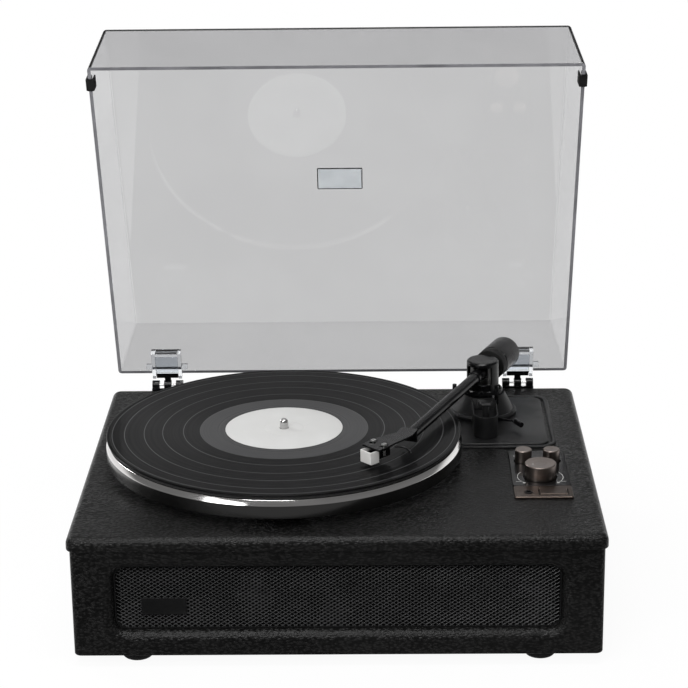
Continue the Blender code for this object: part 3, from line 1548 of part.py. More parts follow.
def control_shafts():
    """Each knob's place, radius and top."""
    return (
        ("volume_knob", *on_rear_plate(VOLUME_SHARES), VOLUME_RADIUS, VOLUME_TOP),
        ("knob_left", *on_rear_plate(KNOB_LEFT_SHARES), KNOB_RADIUS, KNOB_TOP),
        ("knob_right", *on_rear_plate(KNOB_RIGHT_SHARES), KNOB_RADIUS, KNOB_TOP),
    )


def panel_part(name, front, back):
    """One of the panel's two plates, with its edge rounded."""
    middle = ((PANEL_LEFT + PANEL_RIGHT) / 2, (front + back) / 2)
    outline = rounded_rectangle(PANEL_WIDTH, back - front, PANEL_CORNER, 3, middle)
    part = plate(name, outline, SLAB_TOP + GAP, SLAB_TOP + PANEL_HEIGHT)
    bevel_at_height(part, PANEL_EDGE, EDGE_STEPS, SLAB_TOP + PANEL_HEIGHT)
    return part


def make_panel(player):
    """The glossy rear plate round the knobs, and the bronze front plate with button and socket."""
    low = SLAB_TOP - OVERRUN
    high = SLAB_TOP + PANEL_HEIGHT + OVERRUN
    rear = panel_part("panel_rear", PANEL_SPLIT + GAP / 2, PANEL_BACK)
    for name, x, y, radius, _ in control_shafts():
        well = rod(name + "_well", (x, y, low), (x, y, high), radius + KNOB_WELL, TURN_MEDIUM, True)
        cut(rear, well)
    finish(rear, gloss_black(), player)
    front = panel_part("panel_front", PANEL_FRONT, PANEL_SPLIT - GAP / 2)
    x, y = on_front_plate(BUTTON_SHARES)
    reach_x = BUTTON_WIDTH / 2 + BUTTON_CLEAR
    reach_y = BUTTON_DEPTH / 2 + BUTTON_CLEAR
    slot = box("button_slot", (x - reach_x, y - reach_y, low), (x + reach_x, y + reach_y, high), True)
    place = on_front_plate(JACK_SHARES)
    socket = rod("jack_slot", (*place, low), (*place, high), JACK_RADIUS + GAP, helper=True)
    finish(cut(front, slot, socket), bronze(), player)


def make_knobs(player):
    """Three turned knobs, each with its shaft down to the control board."""
    for name, x, y, radius, top in control_shafts():
        profile = (
            (0, top),
            (radius - KNOB_CHAMFER, top),
            (radius, top - KNOB_CHAMFER),
            (radius, GAP + GAP),
            (SHAFT_RADIUS, GAP + GAP),
            (SHAFT_RADIUS, pot_top() + GAP),
            (0, pot_top() + GAP),
        )
        steps = TURN_MEDIUM if radius == VOLUME_RADIUS else TURN_SMALL
        finish(turned(name, profile, steps), bronze(), player, (x, y, SLAB_TOP))


def make_button(player):
    """The push button and its stem."""
    x, y = on_front_plate(BUTTON_SHARES)
    half_x = BUTTON_WIDTH / 2
    half_y = BUTTON_DEPTH / 2
    low = button_floor()
    high = PANEL_HEIGHT + BUTTON_PROUD
    button = box("push_button", (-half_x, -half_y, low), (half_x, half_y, high))
    bevel_at_height(button, BUTTON_EDGE, EDGE_STEPS, high)
    stem = BUTTON_STEM / 2
    stem_low = pot_top() + BUTTON_TRAVEL + GAP
    join(button, box("button_stem", (-stem, -stem, stem_low), (stem, stem, low + SINK), True))
    finish(button, bronze(), player, (x, y, SLAB_TOP))


def button_floor():
    """The button's underside, which the slab stops when it is pressed."""
    return BUTTON_TRAVEL + GAP


def make_jack(player):
    """The round socket beside the button."""
    profile = (
        (0, -SLAB_THICK),
        (JACK_BORE, -SLAB_THICK),
        (JACK_BORE, PANEL_HEIGHT + JACK_PROUD),
        (JACK_RADIUS, PANEL_HEIGHT + JACK_PROUD),
        (JACK_RADIUS, pot_top() + GAP),
        (0, pot_top() + GAP),
    )
    place = (*on_front_plate(JACK_SHARES), SLAB_TOP)
    finish(turned("jack_socket", profile, TURN_SMALL), steel(), player, place)


def board_top():
    return -SLAB_THICK - CONTROL_BOARD_DROP


def pot_top():
    """The top of the parts on the control board that take the shafts."""
    return -SLAB_THICK - POT_CLEAR


def make_control_board(player):
    """The circuit board under the slab, on four posts, with a round part under each shaft."""
    low = board_top() - CONTROL_BOARD_THICK
    left = PANEL_LEFT - CONTROL_BOARD_MARGIN
    right = PANEL_RIGHT + CONTROL_BOARD_MARGIN
    front = PANEL_FRONT - CONTROL_BOARD_MARGIN
    back = PANEL_BACK + CONTROL_BOARD_MARGIN
    corner = (left, front, SLAB_TOP + low)
    board = box("control_board", corner, (right, back, SLAB_TOP + board_top()))
    top = SLAB_TOP - SLAB_THICK - GAP
    inset = STANDOFF_RADIUS + CONTROL_BOARD_MARGIN / 2
    for i, x in enumerate((left + inset, right - inset)):
        for j, y in enumerate((front + inset, back - inset)):
            foot = (x, y, SLAB_TOP + board_top() - SINK)
            name = "standoff_" + str(i) + str(j)
            join(board, rod(name, foot, (x, y, top), STANDOFF_RADIUS, TURN_SMALL // 2, True))
    for name, x, y, _, _ in control_shafts():
        foot = (x, y, SLAB_TOP + board_top() - SINK)
        join(board, rod(name + "_pot", foot, (x, y, SLAB_TOP + pot_top()), POT_RADIUS, TURN_SMALL, True))
    for name, shares in (("switch", BUTTON_SHARES), ("jack", JACK_SHARES)):
        x, y = on_front_plate(shares)
        low_corner = (x - POT_RADIUS / 2, y - POT_RADIUS / 2, SLAB_TOP + board_top() - SINK)
        high_corner = (x + POT_RADIUS / 2, y + POT_RADIUS / 2, SLAB_TOP + pot_top())
        join(board, box(name + "_block", low_corner, high_corner, True))
    finish(board, circuit_green(), player)


# Dust cover, drawn closed round its hinge pin


def hinge_place():
    return 0, SLAB_DEPTH - COVER_REAR_INSET + HINGE_BEHIND, SLAB_TOP + RIM_GAP


def pocket_top():
    return POCKET_LOW + 2 * (POCKET_WALL + GAP) + TONGUE_THICK


def make_cover(hinge):
    """The clear cover: an open shell with leaning walls, higher at the back, notched for the hinges."""
    back = -HINGE_BEHIND
    front = -HINGE_BEHIND - COVER_DEPTH
    bm = bmesh.new()
    bmesh.ops.create_cube(bm, size=2)
    for vert in bm.verts:
        end = back if vert.co.y > 0 else front
        height = COVER_REAR_HEIGHT if vert.co.y > 0 else COVER_FRONT_HEIGHT
        z = height if vert.co.z > 0 else 0
        half = COVER_WIDTH / 2 - COVER_SIDE_SLOPE * z
        lean = -COVER_END_SLOPE * z if vert.co.y > 0 else COVER_END_SLOPE * z
        vert.co = (half if vert.co.x > 0 else -half, end + lean, z)
    under = [face for face in bm.faces if all(vert.co.z == 0 for vert in face.verts)]
    bmesh.ops.delete(bm, geom=under, context="FACES_ONLY")
    mesh = bpy.data.meshes.new("dust_cover")
    bm.to_mesh(mesh)
    bm.free()
    cover = link("dust_cover", mesh)
    rounding = cover.modifiers.new("round", "BEVEL")
    rounding.width = COVER_ROUND
    rounding.segments = 3
    rounding.limit_method = "ANGLE"
    shell = cover.modifiers.new("wall", "SOLIDIFY")
    shell.thickness = COVER_THICK
    shell.offset = -1
    shell.use_even_offset = True
    for side in (-1, 1):
        notch = box(
            "hinge_notch_" + str(side + 1),
            (side * HINGE_X - POCKET_HALF - GAP, back - COVER_THICK - FLANGE_THICK, -OVERRUN),
            (side * HINGE_X + POCKET_HALF + GAP, back + OVERRUN, pocket_top() + GAP),
            True,
        )
        cut(cover, notch)
    finish(cover, smoke_clear(), hinge)


def make_hinges(player, hinge):
    """Both hinges: a fixed bracket with two lobes, a pin, the tongue and its clear pocket."""
    place = hinge_place()
    slab_back = SLAB_DEPTH + GAP - place[1]
    slab_level = SLAB_TOP - place[2]
    for side, name in ((-1, "left"), (1, "right")):
        x = side * HINGE_X
        at = (x, place[1], place[2])
        bracket = box(
            "hinge_bracket_" + name,
            (-LOBE_OUT, slab_back, slab_level - BRACKET_DROP),
            (LOBE_OUT, slab_back + BRACKET_PLATE, slab_level),
        )
        for end in (-1, 1):
            low, high = sorted((end * LOBE_IN, end * LOBE_OUT))
            tag = name + str(end + 1)
            arm_low = (low + SINK, slab_back + SINK, -KNUCKLE_RADIUS)
            join(
                bracket,
                rod("lobe_" + tag, (low, 0, 0), (high, 0, 0), KNUCKLE_RADIUS, helper=True),
                box("lobe_arm_" + tag, arm_low, (high - SINK, 0, slab_level), True),
            )
        bore = rod(
            "bracket_bore_" + name,
            (-LOBE_OUT - OVERRUN, 0, 0),
            (LOBE_OUT + OVERRUN, 0, 0),
            HINGE_PIN_RADIUS + GAP,
            helper=True,
        )
        finish(cut(bracket, bore), gloss_black(), player, at)
        pin = rod("hinge_pin_" + name, (-LOBE_OUT, 0, 0), (LOBE_OUT, 0, 0), HINGE_PIN_RADIUS)
        finish(smooth(pin), steel(), player, at)
        make_tongue(hinge, x, name)
        make_pocket(hinge, x, name)


def make_tongue(hinge, x, name):
    """The tongue: a knuckle on the pin, a neck and the wide blade that slides into the pocket."""
    low = POCKET_LOW + POCKET_WALL + GAP
    high = low + TONGUE_THICK
    blade_start = -KNUCKLE_RADIUS - TONGUE_NECK
    blade_low = (-TONGUE_HALF, -HINGE_BEHIND - TONGUE_LENGTH, low)
    tongue = box("hinge_tongue_" + name, blade_low, (TONGUE_HALF, blade_start, high))
    half = KNUCKLE_HALF - SINK
    neck_low = (-half, blade_start - SINK, low + SINK)
    neck = box("tongue_neck_" + name, neck_low, (half, 0, KNUCKLE_RADIUS - SINK), True)
    left = (-KNUCKLE_HALF, 0, 0)
    right = (KNUCKLE_HALF, 0, 0)
    knuckle = rod("knuckle_" + name, left, right, KNUCKLE_RADIUS, helper=True)
    reach = KNUCKLE_HALF + OVERRUN
    bore = rod("knuckle_bore_" + name, (-reach, 0, 0), (reach, 0, 0), HINGE_PIN_RADIUS + GAP, helper=True)
    join(tongue, neck, knuckle)
    finish(cut(tongue, bore), gloss_black(), hinge, (x, 0, 0))


def make_pocket(hinge, x, name):
    """The clear pocket on the cover, with a flange on each side inside the back wall."""
    back = -HINGE_BEHIND
    top = pocket_top()
    pocket = box(
        "hinge_pocket_" + name,
        (-POCKET_HALF, back - POCKET_LENGTH, POCKET_LOW),
        (POCKET_HALF, back + POCKET_MOUTH, top),
    )
    inside_wall = back - COVER_THICK - GAP - COVER_END_SLOPE * top
    flange = box(
        "pocket_flange_" + name,
        (-FLANGE_HALF, inside_wall - FLANGE_THICK, POCKET_LOW + SINK),
        (FLANGE_HALF, inside_wall, top - SINK),
        True,
    )
    low = POCKET_LOW + POCKET_WALL
    cavity = box(
        "pocket_cutter_" + name,
        (-TONGUE_HALF - GAP, back - TONGUE_LENGTH - GAP, low),
        (TONGUE_HALF + GAP, back + POCKET_MOUTH + OVERRUN, low + 2 * GAP + TONGUE_THICK),
        True,
    )
    window = box(
        "pocket_window_" + name,
        (-TONGUE_HALF - GAP, back, -OVERRUN),
        (TONGUE_HALF + GAP, back + POCKET_MOUTH + OVERRUN, low + TONGUE_THICK / 2),
        True,
    )
    join(pocket, flange)
    finish(cut(pocket, cavity, window), clear_plastic(), hinge, (x, 0, 0))


def make_bumpers(hinge):
    """Rubber clips over the cover's side rims near its front corners."""
    back = BUMPER_INSET - HINGE_BEHIND - COVER_DEPTH
    for side, name in ((-1, "left"), (1, "right")):
        edge = COVER_WIDTH / 2
        inner = edge - COVER_THICK - BUMPER_SHEET
        outer = edge + BUMPER_SHEET
        front = back - BUMPER_LENGTH
        bumper = box("bumper_" + name, (inner, front, -BUMPER_FOOT), (outer, back, BUMPER_HEIGHT))
        slot_floor = -GAP - COVER_THICK * COVER_SIDE_SLOPE
        slot = box(
            "bumper_slot_" + name,
            (edge - COVER_THICK - 2 * GAP, front - OVERRUN, slot_floor),
            (edge + GAP, back + OVERRUN, BUMPER_HEIGHT + OVERRUN),
            True,
        )
        for mesh in (bumper.data, slot.data):
            for vert in mesh.vertices:
                vert.co.x = side * (vert.co.x - COVER_SIDE_SLOPE * vert.co.z)
            if side < 0:
                mesh.flip_normals()
        finish(cut(bumper, slot), black_rubber(), hinge)


def make_lid_badge(hinge):
    """The small bare plate on the inner face of the cover's top."""
    fall = math.atan((COVER_REAR_HEIGHT - COVER_FRONT_HEIGHT) / COVER_DEPTH)
    outline = rounded_rectangle(LID_BADGE_WIDTH, LID_BADGE_DEPTH, LID_BADGE_CORNER, 3)
    badge = plate("lid_badge", outline, -LID_BADGE_THICK, 0)
    along = LID_BADGE_SHARE * COVER_DEPTH
    height = COVER_REAR_HEIGHT - math.tan(fall) * along - (COVER_THICK + GAP) / math.cos(fall)
    finish(badge, pale_plastic(), hinge, (0, -HINGE_BEHIND - along, height))
    badge.rotation_euler = (fall, 0, 0)


def centre_footprint(player):
    """Move everything so that the origin is in the middle of the footprint."""
    graph = bpy.context.evaluated_depsgraph_get()
    graph.update()
    reach = []
    for obj in PARTS.objects:
        if obj.type == "MESH":
            shown = obj.evaluated_get(graph)
            reach += [(shown.matrix_world @ vert.co).y for vert in shown.data.vertices]
    player.location.y = -(min(reach) + max(reach)) / 2


def build():
    player = empty("player", None, (0, 0, 0))
    make_cabinet(player)
    make_base_panel(player)
    make_feet(player)
    make_slab(player)
    make_grille(player)
    make_speakers(player)
    make_rear_panel(player)

    make_bearing(player)
    platter_axis = empty("platter_axis", player, (SPINDLE_X, SPINDLE_Y, SLAB_TOP))
    make_platter(platter_axis)
    make_spindle(platter_axis)
    make_record(platter_axis)
    make_belt(player)
    make_motor(player)
    make_pulley(empty("pulley_axis", player, (*motor_place(), SLAB_TOP)))

    make_board(player)
    arm_place = empty("arm_place", player, (ARM_X, ARM_Y, SLAB_TOP))
    make_pillar(arm_place)
    make_housing(arm_place)
    make_clip(arm_place)
    make_platform(arm_place)
    make_lever(arm_place)
    swing = empty("arm_swing_axis", arm_place, (0, 0, 0), (0, 0, ARM_PLAN_ANGLE))
    make_yoke(swing)
    make_pin(swing)
    tilt = empty("arm_tilt_axis", swing, (0, 0, ARM_AXIS_HEIGHT), (ARM_SLOPE, 0, 0))
    make_tube(tilt)
    make_weight(empty("weight_axis", tilt, (0, 0, 0)))
    make_headshell(tilt)
    make_finger_lift(tilt)
    head = empty("cartridge_place", tilt, (*on_headshell(MOUNT_SHARES), 0), (0, 0, OFFSET_ANGLE))
    make_cartridge(head)
    make_stylus(head)
    make_screws(head)

    make_panel(player)
    make_knobs(player)
    make_button(player)
    make_jack(player)
    make_control_board(player)

    hinge = empty("cover_hinge", player, hinge_place(), (-math.radians(COVER_OPEN), 0, 0))
    make_cover(hinge)
    make_hinges(player, hinge)
    make_bumpers(hinge)
    make_lid_badge(hinge)
    centre_footprint(player)


clear_scene()
PARTS = new_collection("record_player")
CUTTERS = new_collection("cutters")
CUTTERS.hide_render = True
build()
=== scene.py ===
# %% [markdown]
# # A record player with its cover open
#
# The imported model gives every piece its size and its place. This script dresses it: it computes
# the surfaces that show most, gives a fine edge to the others, and makes each material from nodes.

import json
import math
from contextlib import contextmanager

import bmesh
import bpy
import numpy as np
from mathutils import Matrix, Vector

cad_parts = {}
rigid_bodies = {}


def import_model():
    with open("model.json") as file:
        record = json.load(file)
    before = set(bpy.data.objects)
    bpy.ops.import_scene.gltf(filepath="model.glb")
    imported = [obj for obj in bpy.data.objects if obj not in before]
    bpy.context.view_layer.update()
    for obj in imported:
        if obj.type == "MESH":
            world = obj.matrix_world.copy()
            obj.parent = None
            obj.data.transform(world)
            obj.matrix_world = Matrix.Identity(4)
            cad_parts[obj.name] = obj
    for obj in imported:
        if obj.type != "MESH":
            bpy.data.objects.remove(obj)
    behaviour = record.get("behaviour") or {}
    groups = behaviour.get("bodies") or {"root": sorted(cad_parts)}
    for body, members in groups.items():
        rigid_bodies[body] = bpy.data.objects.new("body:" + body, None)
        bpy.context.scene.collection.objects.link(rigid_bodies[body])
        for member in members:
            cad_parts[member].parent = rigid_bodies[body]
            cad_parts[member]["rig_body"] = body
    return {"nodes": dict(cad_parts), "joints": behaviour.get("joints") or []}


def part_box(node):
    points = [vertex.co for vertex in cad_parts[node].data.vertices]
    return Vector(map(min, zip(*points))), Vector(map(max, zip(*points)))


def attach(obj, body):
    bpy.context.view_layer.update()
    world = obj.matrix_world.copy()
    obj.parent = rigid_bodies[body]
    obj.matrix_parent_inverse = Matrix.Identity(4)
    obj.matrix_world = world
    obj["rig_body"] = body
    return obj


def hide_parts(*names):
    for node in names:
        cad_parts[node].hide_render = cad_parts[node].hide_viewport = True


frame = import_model()
NODES = frame["nodes"]
AXIS_OF = {joint["name"]: Vector(joint["pos_m"]) for joint in frame["joints"] if "pos_m" in joint}
BODY_OF = {name: obj["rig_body"] for name, obj in NODES.items()}
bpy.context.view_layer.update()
print("pieces in the frame:", len(NODES))

# %% [markdown]
# ## The camera
#
# The photograph was taken with a long lens from about 1.8 m away, a little above the object. A long
# lens keeps the cabinet's sides nearly parallel. The camera is turned by three angles, and its
# picture is shifted by the distance between the lens's axis and the middle of the image.

# %% The camera's place, angles and lens
IMAGE_SIDE = 688  # pixels
FOCAL_PIXELS = 2193.6
AXIS_PIXELS = (344.30, 344.32)
SENSOR = 36.0  # millimetres
CAMERA_PLACE = Vector((0.03393, -1.79060, 0.80369))
CAMERA_SEES = 50
PITCH = math.radians(18.54)
YAW = math.radians(0.94)
ROLL = math.radians(-0.70)


def new_object(name, data):
    """An object in the scene that holds a mesh, a lamp or a camera."""
    obj = bpy.data.objects.new(name, data)
    bpy.context.scene.collection.objects.link(obj)
    return obj


def place_camera():
    """A camera starts by looking down. It is rolled about its view, tipped up until it looks below
    the horizon by the pitch, and turned by the yaw about Z."""
    data = bpy.data.cameras.new("photo_camera")
    data.sensor_width = SENSOR
    data.lens = FOCAL_PIXELS * SENSOR / IMAGE_SIDE
    data.shift_x = 0.5 - AXIS_PIXELS[0] / IMAGE_SIDE
    data.shift_y = AXIS_PIXELS[1] / IMAGE_SIDE - 0.5
    data.clip_end = CAMERA_SEES
    camera = new_object("photo_camera", data)
    turn = Matrix.Rotation(YAW, 4, "Z") @ Matrix.Rotation(math.pi / 2 - PITCH, 4, "X")
    camera.matrix_world = Matrix.Translation(CAMERA_PLACE) @ turn @ Matrix.Rotation(ROLL, 4, "Z")
    bpy.context.scene.camera = camera
    return camera


print("lens:", round(place_camera().data.lens, 1), "mm")

# %% [markdown]
# ## Surfaces from arrays
#
# A machined or moulded piece is a profile that turns about an axis or runs along an outline. Each
# is a grid of points: one index runs along the profile and the other round the axis. Whole arrays
# are computed at once, and the mesh takes them in one call.

# %% A closed mesh from a grid of points
WELD = 0.000001  # metres, as all lengths here


@contextmanager
def edited(mesh):
    """Open a mesh for editing, and put the result back into it."""
    tidy = bmesh.new()
    tidy.from_mesh(mesh)
    yield tidy
    tidy.to_mesh(mesh)
    tidy.free()


def closed_mesh(points, faces):
    """A mesh with its doubles merged and its faces turned outwards."""
    mesh = bpy.data.meshes.new("surface")
    mesh.from_pydata(points.reshape(-1, 3).tolist(), [], faces)
    with edited(mesh) as tidy:
        bmesh.ops.remove_doubles(tidy, verts=tidy.verts, dist=WELD)
        bmesh.ops.recalc_face_normals(tidy, faces=tidy.faces)
    return mesh


def mesh_from_grid(points, capped=False):
    """Join a (rows, columns, 3) grid into faces. Columns close on themselves, and `capped` fills the
    first and the last row. Rows that shrink to a point weld into a pole."""
    rows, columns = points.shape[:2]
    first = np.arange(rows - 1)[:, None] * columns
    left = np.arange(columns)[None, :]
    right = (left + 1) % columns
    quads = np.stack([first + left, first + right, first + columns + right, first + columns + left], -1)
    faces = quads.reshape(-1, 4).tolist()
    if capped:
        faces += np.arange(rows * columns).reshape(rows, columns)[[0, -1]].tolist()
    return closed_mesh(points, faces)


# %% Pieces that ride with the CAD nodes
PIECES = dict(NODES)  # by node, and by name for the thin trims


def shade(mesh, degrees=35):
    """Shade smooth, with the edges sharper than the angle kept hard."""
    mesh.polygons.foreach_set("use_smooth", [True] * len(mesh.polygons))
    mesh.set_sharp_from_angle(angle=math.radians(degrees))
    return mesh


def add_trim(name, mesh, node):
    """Make a thin piece that sits on a node and rides with it."""
    obj = new_object(name, mesh)
    mesh.name = name
    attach(obj, BODY_OF[node])
    PIECES[name] = obj
    return obj


def show(node, mesh, degrees=35):
    """Make the piece that stands for a CAD node, on the same body."""
    obj = add_trim(node + "_shown", shade(mesh, degrees), node)
    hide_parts(node)
    PIECES[node] = obj
    print(obj.name, "faces:", len(mesh.polygons))
    return obj


def seat(node):
    """The middle of the underside of a node's box."""
    low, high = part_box(node)
    return np.array([(low.x + high.x) / 2, (low.y + high.y) / 2, low.z])


def turned_size(node, place):
    """A turned node's radius, and its lowest and highest point measured from a place on its axis."""
    low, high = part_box(node)
    return (high.x - low.x) / 2, low.z - place[2], high.z - place[2]


# %% [markdown]
# A real edge is never sharp. `rounded` takes the corners of a profile, each with its own radius, and
# replaces every corner by a short arc, so one list of corners describes a whole turned piece.

# %% Profiles with rounded corners
ARC_POINTS = 5
HAIR = 0.0001
FINE = 0.0002
THIN = 0.0003
SMALL = 0.0004
MEDIUM = 0.0006
SOFT = 0.0010
WIDE = 0.0020


def rounded(corners):
    """Points along a profile of (a, b, radius) corners: each corner is cut by its radius on both
    sides, and the gap is bridged by a quadratic curve that leaves along one side and meets the other."""
    table = np.array([corner[:2] for corner in corners], float)
    t = np.linspace(0, 1, ARC_POINTS)[:, None]
    out = [table[:1]]
    for here, back, on, corner in zip(table[1:-1], table[:-2], table[2:], corners[1:-1]):
        back = back - here
        on = on - here
        reach = min(corner[2], np.hypot(*back) / 2, np.hypot(*on) / 2)
        start = here + back / np.hypot(*back) * reach
        end = here + on / np.hypot(*on) * reach
        out.append((1 - t) ** 2 * start + 2 * t * (1 - t) * here + t**2 * end)
    return np.concatenate([*out, table[-1:]])


def lathe(profile, steps):
    """The grid of a (radius, height) profile turned about Z: x = r cos u, y = r sin u, z = h."""
    angle = np.linspace(0, 2 * np.pi, steps, endpoint=False)
    radius, height = profile.T[:, :, None]
    return np.stack([radius * np.cos(angle), radius * np.sin(angle), height + 0 * angle], -1)


def turned(profile, steps, centre):
    """A profile turned about the vertical axis through a point."""
    return mesh_from_grid(lathe(profile, steps) + np.array(centre))


print("a rounded square corner:", rounded([(0, 0), (1, 0, 0.2), (1, 1)]).round(2).tolist())

# %% Plates with a moulded edge


def rectangle_outline(width, depth, corner, steps=9):
    """The points of a rounded rectangle: four quarter circles of one radius, joined by the sides."""
    quarter = np.linspace(0, np.pi / 2, steps)
    angle = np.arange(4)[:, None] * np.pi / 2 + quarter[None, :]
    x = np.array([1, -1, -1, 1])[:, None] * (width / 2 - corner) + corner * np.cos(angle)
    y = np.array([1, 1, -1, -1])[:, None] * (depth / 2 - corner) + corner * np.sin(angle)
    return np.stack([x.ravel(), y.ravel()], -1)


def quarter_round(edge, thick, steps):
    """From a plate's side up to its top: inset = e (1 - cos u), height = t - e (1 - sin u)."""
    turn = np.linspace(0, np.pi / 2, steps)
    return np.stack([edge * (1 - np.cos(turn)), thick - edge * (1 - np.sin(turn))], -1)


def moulded(size, corner, profile, centre, stand=False, capped=True):
    """An (inset, height) profile run round a rounded rectangle. Each row is the same rectangle drawn
    smaller by the inset. With `stand`, the piece faces the front and its height runs to -Y. A strip
    whose profile closes on itself isn't capped."""
    rows = []
    for inset, height in profile:
        flat = rectangle_outline(size[0] - 2 * inset, size[1] - 2 * inset, max(corner - inset, WELD * 10))
        rows.append(np.column_stack([flat, np.full(len(flat), height)]))
    points = np.array(rows)
    if stand:
        points = points[..., [0, 2, 1]] * (1, -1, 1)
    return mesh_from_grid(points + np.array(centre), capped)


print("points round a rounded rectangle:", len(rectangle_outline(2, 1, 0.1)))

# %% [markdown]
# ## Fine edges for the other pieces
#
# A CAD mesh is a soup of triangles with sharp edges. A copy of it is welded, its flat faces are
# merged, and a narrow Bevel with hardened normals rounds what is sharper than 40 degrees. The small
# highlight along such an edge is what makes a moulded or a milled piece look solid. Weighted normals
# then keep every large face level right up to its rounded border, so it mirrors like a real pane.

# %% A welded copy with a bevel
FLAT = math.radians(0.5)
SHARP_DEGREES = 40
WRAPPED_EDGE = 0.0010
SAWN_EDGE = 0.0006
CAST_EDGE = 0.0005
MOULDED_EDGE = 0.0004
PLATE_EDGE = 0.0003
HEADSHELL_EDGE = 0.00025
SOCKET_EDGE = 0.0002
SCREW_EDGE = 0.00015
FOIL_EDGE = 0.0001


def welded_copy(node):
    """A CAD node's mesh with shared vertices and its coplanar triangles merged."""
    mesh = bpy.data.meshes.new("copy")
    with edited(mesh) as tidy:
        tidy.from_mesh(NODES[node].data)
        bmesh.ops.remove_doubles(tidy, verts=tidy.verts, dist=WELD)
        bmesh.ops.dissolve_limit(tidy, angle_limit=FLAT, verts=tidy.verts, edges=tidy.edges)
        bmesh.ops.recalc_face_normals(tidy, faces=tidy.faces)
    return mesh


def fine_edged(width, *nodes, segments=2):
    """Show CAD nodes as welded copies with a narrow rounded edge."""
    for node in nodes:
        obj = show(node, welded_copy(node), SHARP_DEGREES)
        edge = obj.modifiers.new("edge", "BEVEL")
        edge.width = width
        edge.segments = segments
        edge.limit_method = "ANGLE"
        edge.angle_limit = math.radians(SHARP_DEGREES)
        edge.harden_normals = True
        edge.miter_outer = "MITER_ARC"
        level = obj.modifiers.new("level_faces", "WEIGHTED_NORMAL")
        level.mode = "FACE_AREA"
        level.keep_sharp = True


def both(stem):
    """The names of a piece's left and right one."""
    return [stem + "_left", stem + "_right"]


# %% Rods, bent tubes and drilled holes
UPRIGHT = 0.9
HOLE_STEPS = 32


def swept(path, radii, steps):
    """A round section carried along a path: at each point the ring side cos u + over sin u lies
    square to the path's direction, and its radius is given once or for each point."""
    path = np.array(path, float)
    along = np.gradient(path, axis=0)
    along = along / np.linalg.norm(along, axis=1)[:, None]
    helper = np.where(np.abs(along[:, 2:]) > UPRIGHT, (1.0, 0, 0), (0, 0, 1.0))
    side = np.cross(along, helper)
    side = side / np.linalg.norm(side, axis=1)[:, None]
    over = np.cross(side, along)
    angle = np.linspace(0, 2 * np.pi, steps, endpoint=False)[None, :, None]
    ring = np.cos(angle) * side[:, None] + np.sin(angle) * over[:, None]
    radii = np.broadcast_to(radii, len(path))[:, None, None]
    return mesh_from_grid(path[:, None] + ring * radii, capped=True)


def drilled(mesh, holes):
    """Cut straight round holes, each a ((start, end), radius), and keep only the result."""
    piece = new_object("being_drilled", mesh)
    drills = []
    for ends, radius in holes:
        cut = piece.modifiers.new("hole", "BOOLEAN")
        cut.operation = "DIFFERENCE"
        cut.object = new_object("drill", swept(ends, radius, HOLE_STEPS))
        drills.append(cut.object)
    result = bpy.data.meshes.new_from_object(piece.evaluated_get(bpy.context.evaluated_depsgraph_get()))
    for obj in [piece, *drills]:
        bpy.data.objects.remove(obj)
    return result


# %% [markdown]
# ## The cabinet and its top board
#
# The cabinet is board wrapped in black leatherette. The wrapping rounds every edge: the top board
# has a soft front edge of about 6 mm, and it stands a little proud of the body. The board is a
# rounded rectangle with a quarter-round profile, then drilled for the bearing, the motor and the
# controls.

# %% The top board
SLAB_LOW, SLAB_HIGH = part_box("top_slab")
SLAB_SIZE = SLAB_HIGH - SLAB_LOW
SLAB_ROUND = 0.0060
SLAB_CORNER = 0.0080
SLAB_BORDER = 0.0040
UNDER_EDGE = 0.0012
BEARING_HOLE = 0.0093
MOTOR_HOLE = 0.0100
SHAFT_HOLE = 0.0036
BUTTON_HOLE = 0.0029
OVERRUN = 0.0020
KNOB_JOINTS = {"volume_knob": "volume_turn", "knob_left": "left_knob_turn", "knob_right": "right_knob_turn"}


def top_board():
    """A small round of the lower edge, a quarter round of the top edge, and flat faces."""
    turn = np.linspace(0, np.pi / 2, 9)
    low = np.stack([UNDER_EDGE * (1 - np.sin(turn)), UNDER_EDGE * (1 - np.cos(turn))], -1)
    inner = [[SLAB_ROUND + SLAB_BORDER, SLAB_SIZE.z]]
    profile = np.concatenate([low, quarter_round(SLAB_ROUND, SLAB_SIZE.z, 9), inner])
    return moulded(SLAB_SIZE, SLAB_CORNER, profile, seat("top_slab"))


def slab_holes():
    """The holes that the CAD slab has: each shaft's axis, right through, and its clearance."""
    holes = [
        (AXIS_OF["platter_spin"], BEARING_HOLE),
        (AXIS_OF["pulley_spin"], MOTOR_HOLE),
        (seat("jack_socket"), SHAFT_HOLE),
        (seat("push_button"), BUTTON_HOLE),
    ]
    holes += [(AXIS_OF[joint], SHAFT_HOLE) for joint in KNOB_JOINTS.values()]
    ends = (SLAB_LOW.z - OVERRUN, SLAB_HIGH.z + OVERRUN)
    return [([(place[0], place[1], z) for z in ends], radius) for place, radius in holes]


show("top_slab", drilled(top_board(), slab_holes()))

# %% The cabinet, the base and the feet
FOOT_STEPS = 64
TREAD_SHARE = 0.86
TREAD_ROUND = 0.0008
DOME = 0.0022
DOME_ROUND = 0.0018
GROOVE_DEPTH = 0.0007
SIDE_SHARES = {0.55: 0, 0.60: GROOVE_DEPTH, 0.72: GROOVE_DEPTH, 0.77: 0, 1.0: 0}  # of the height: how deep
FEET = both("foot_front") + both("foot_rear")
fine_edged(WRAPPED_EDGE, "cabinet_body", segments=3)
fine_edged(SAWN_EDGE, "base_panel")


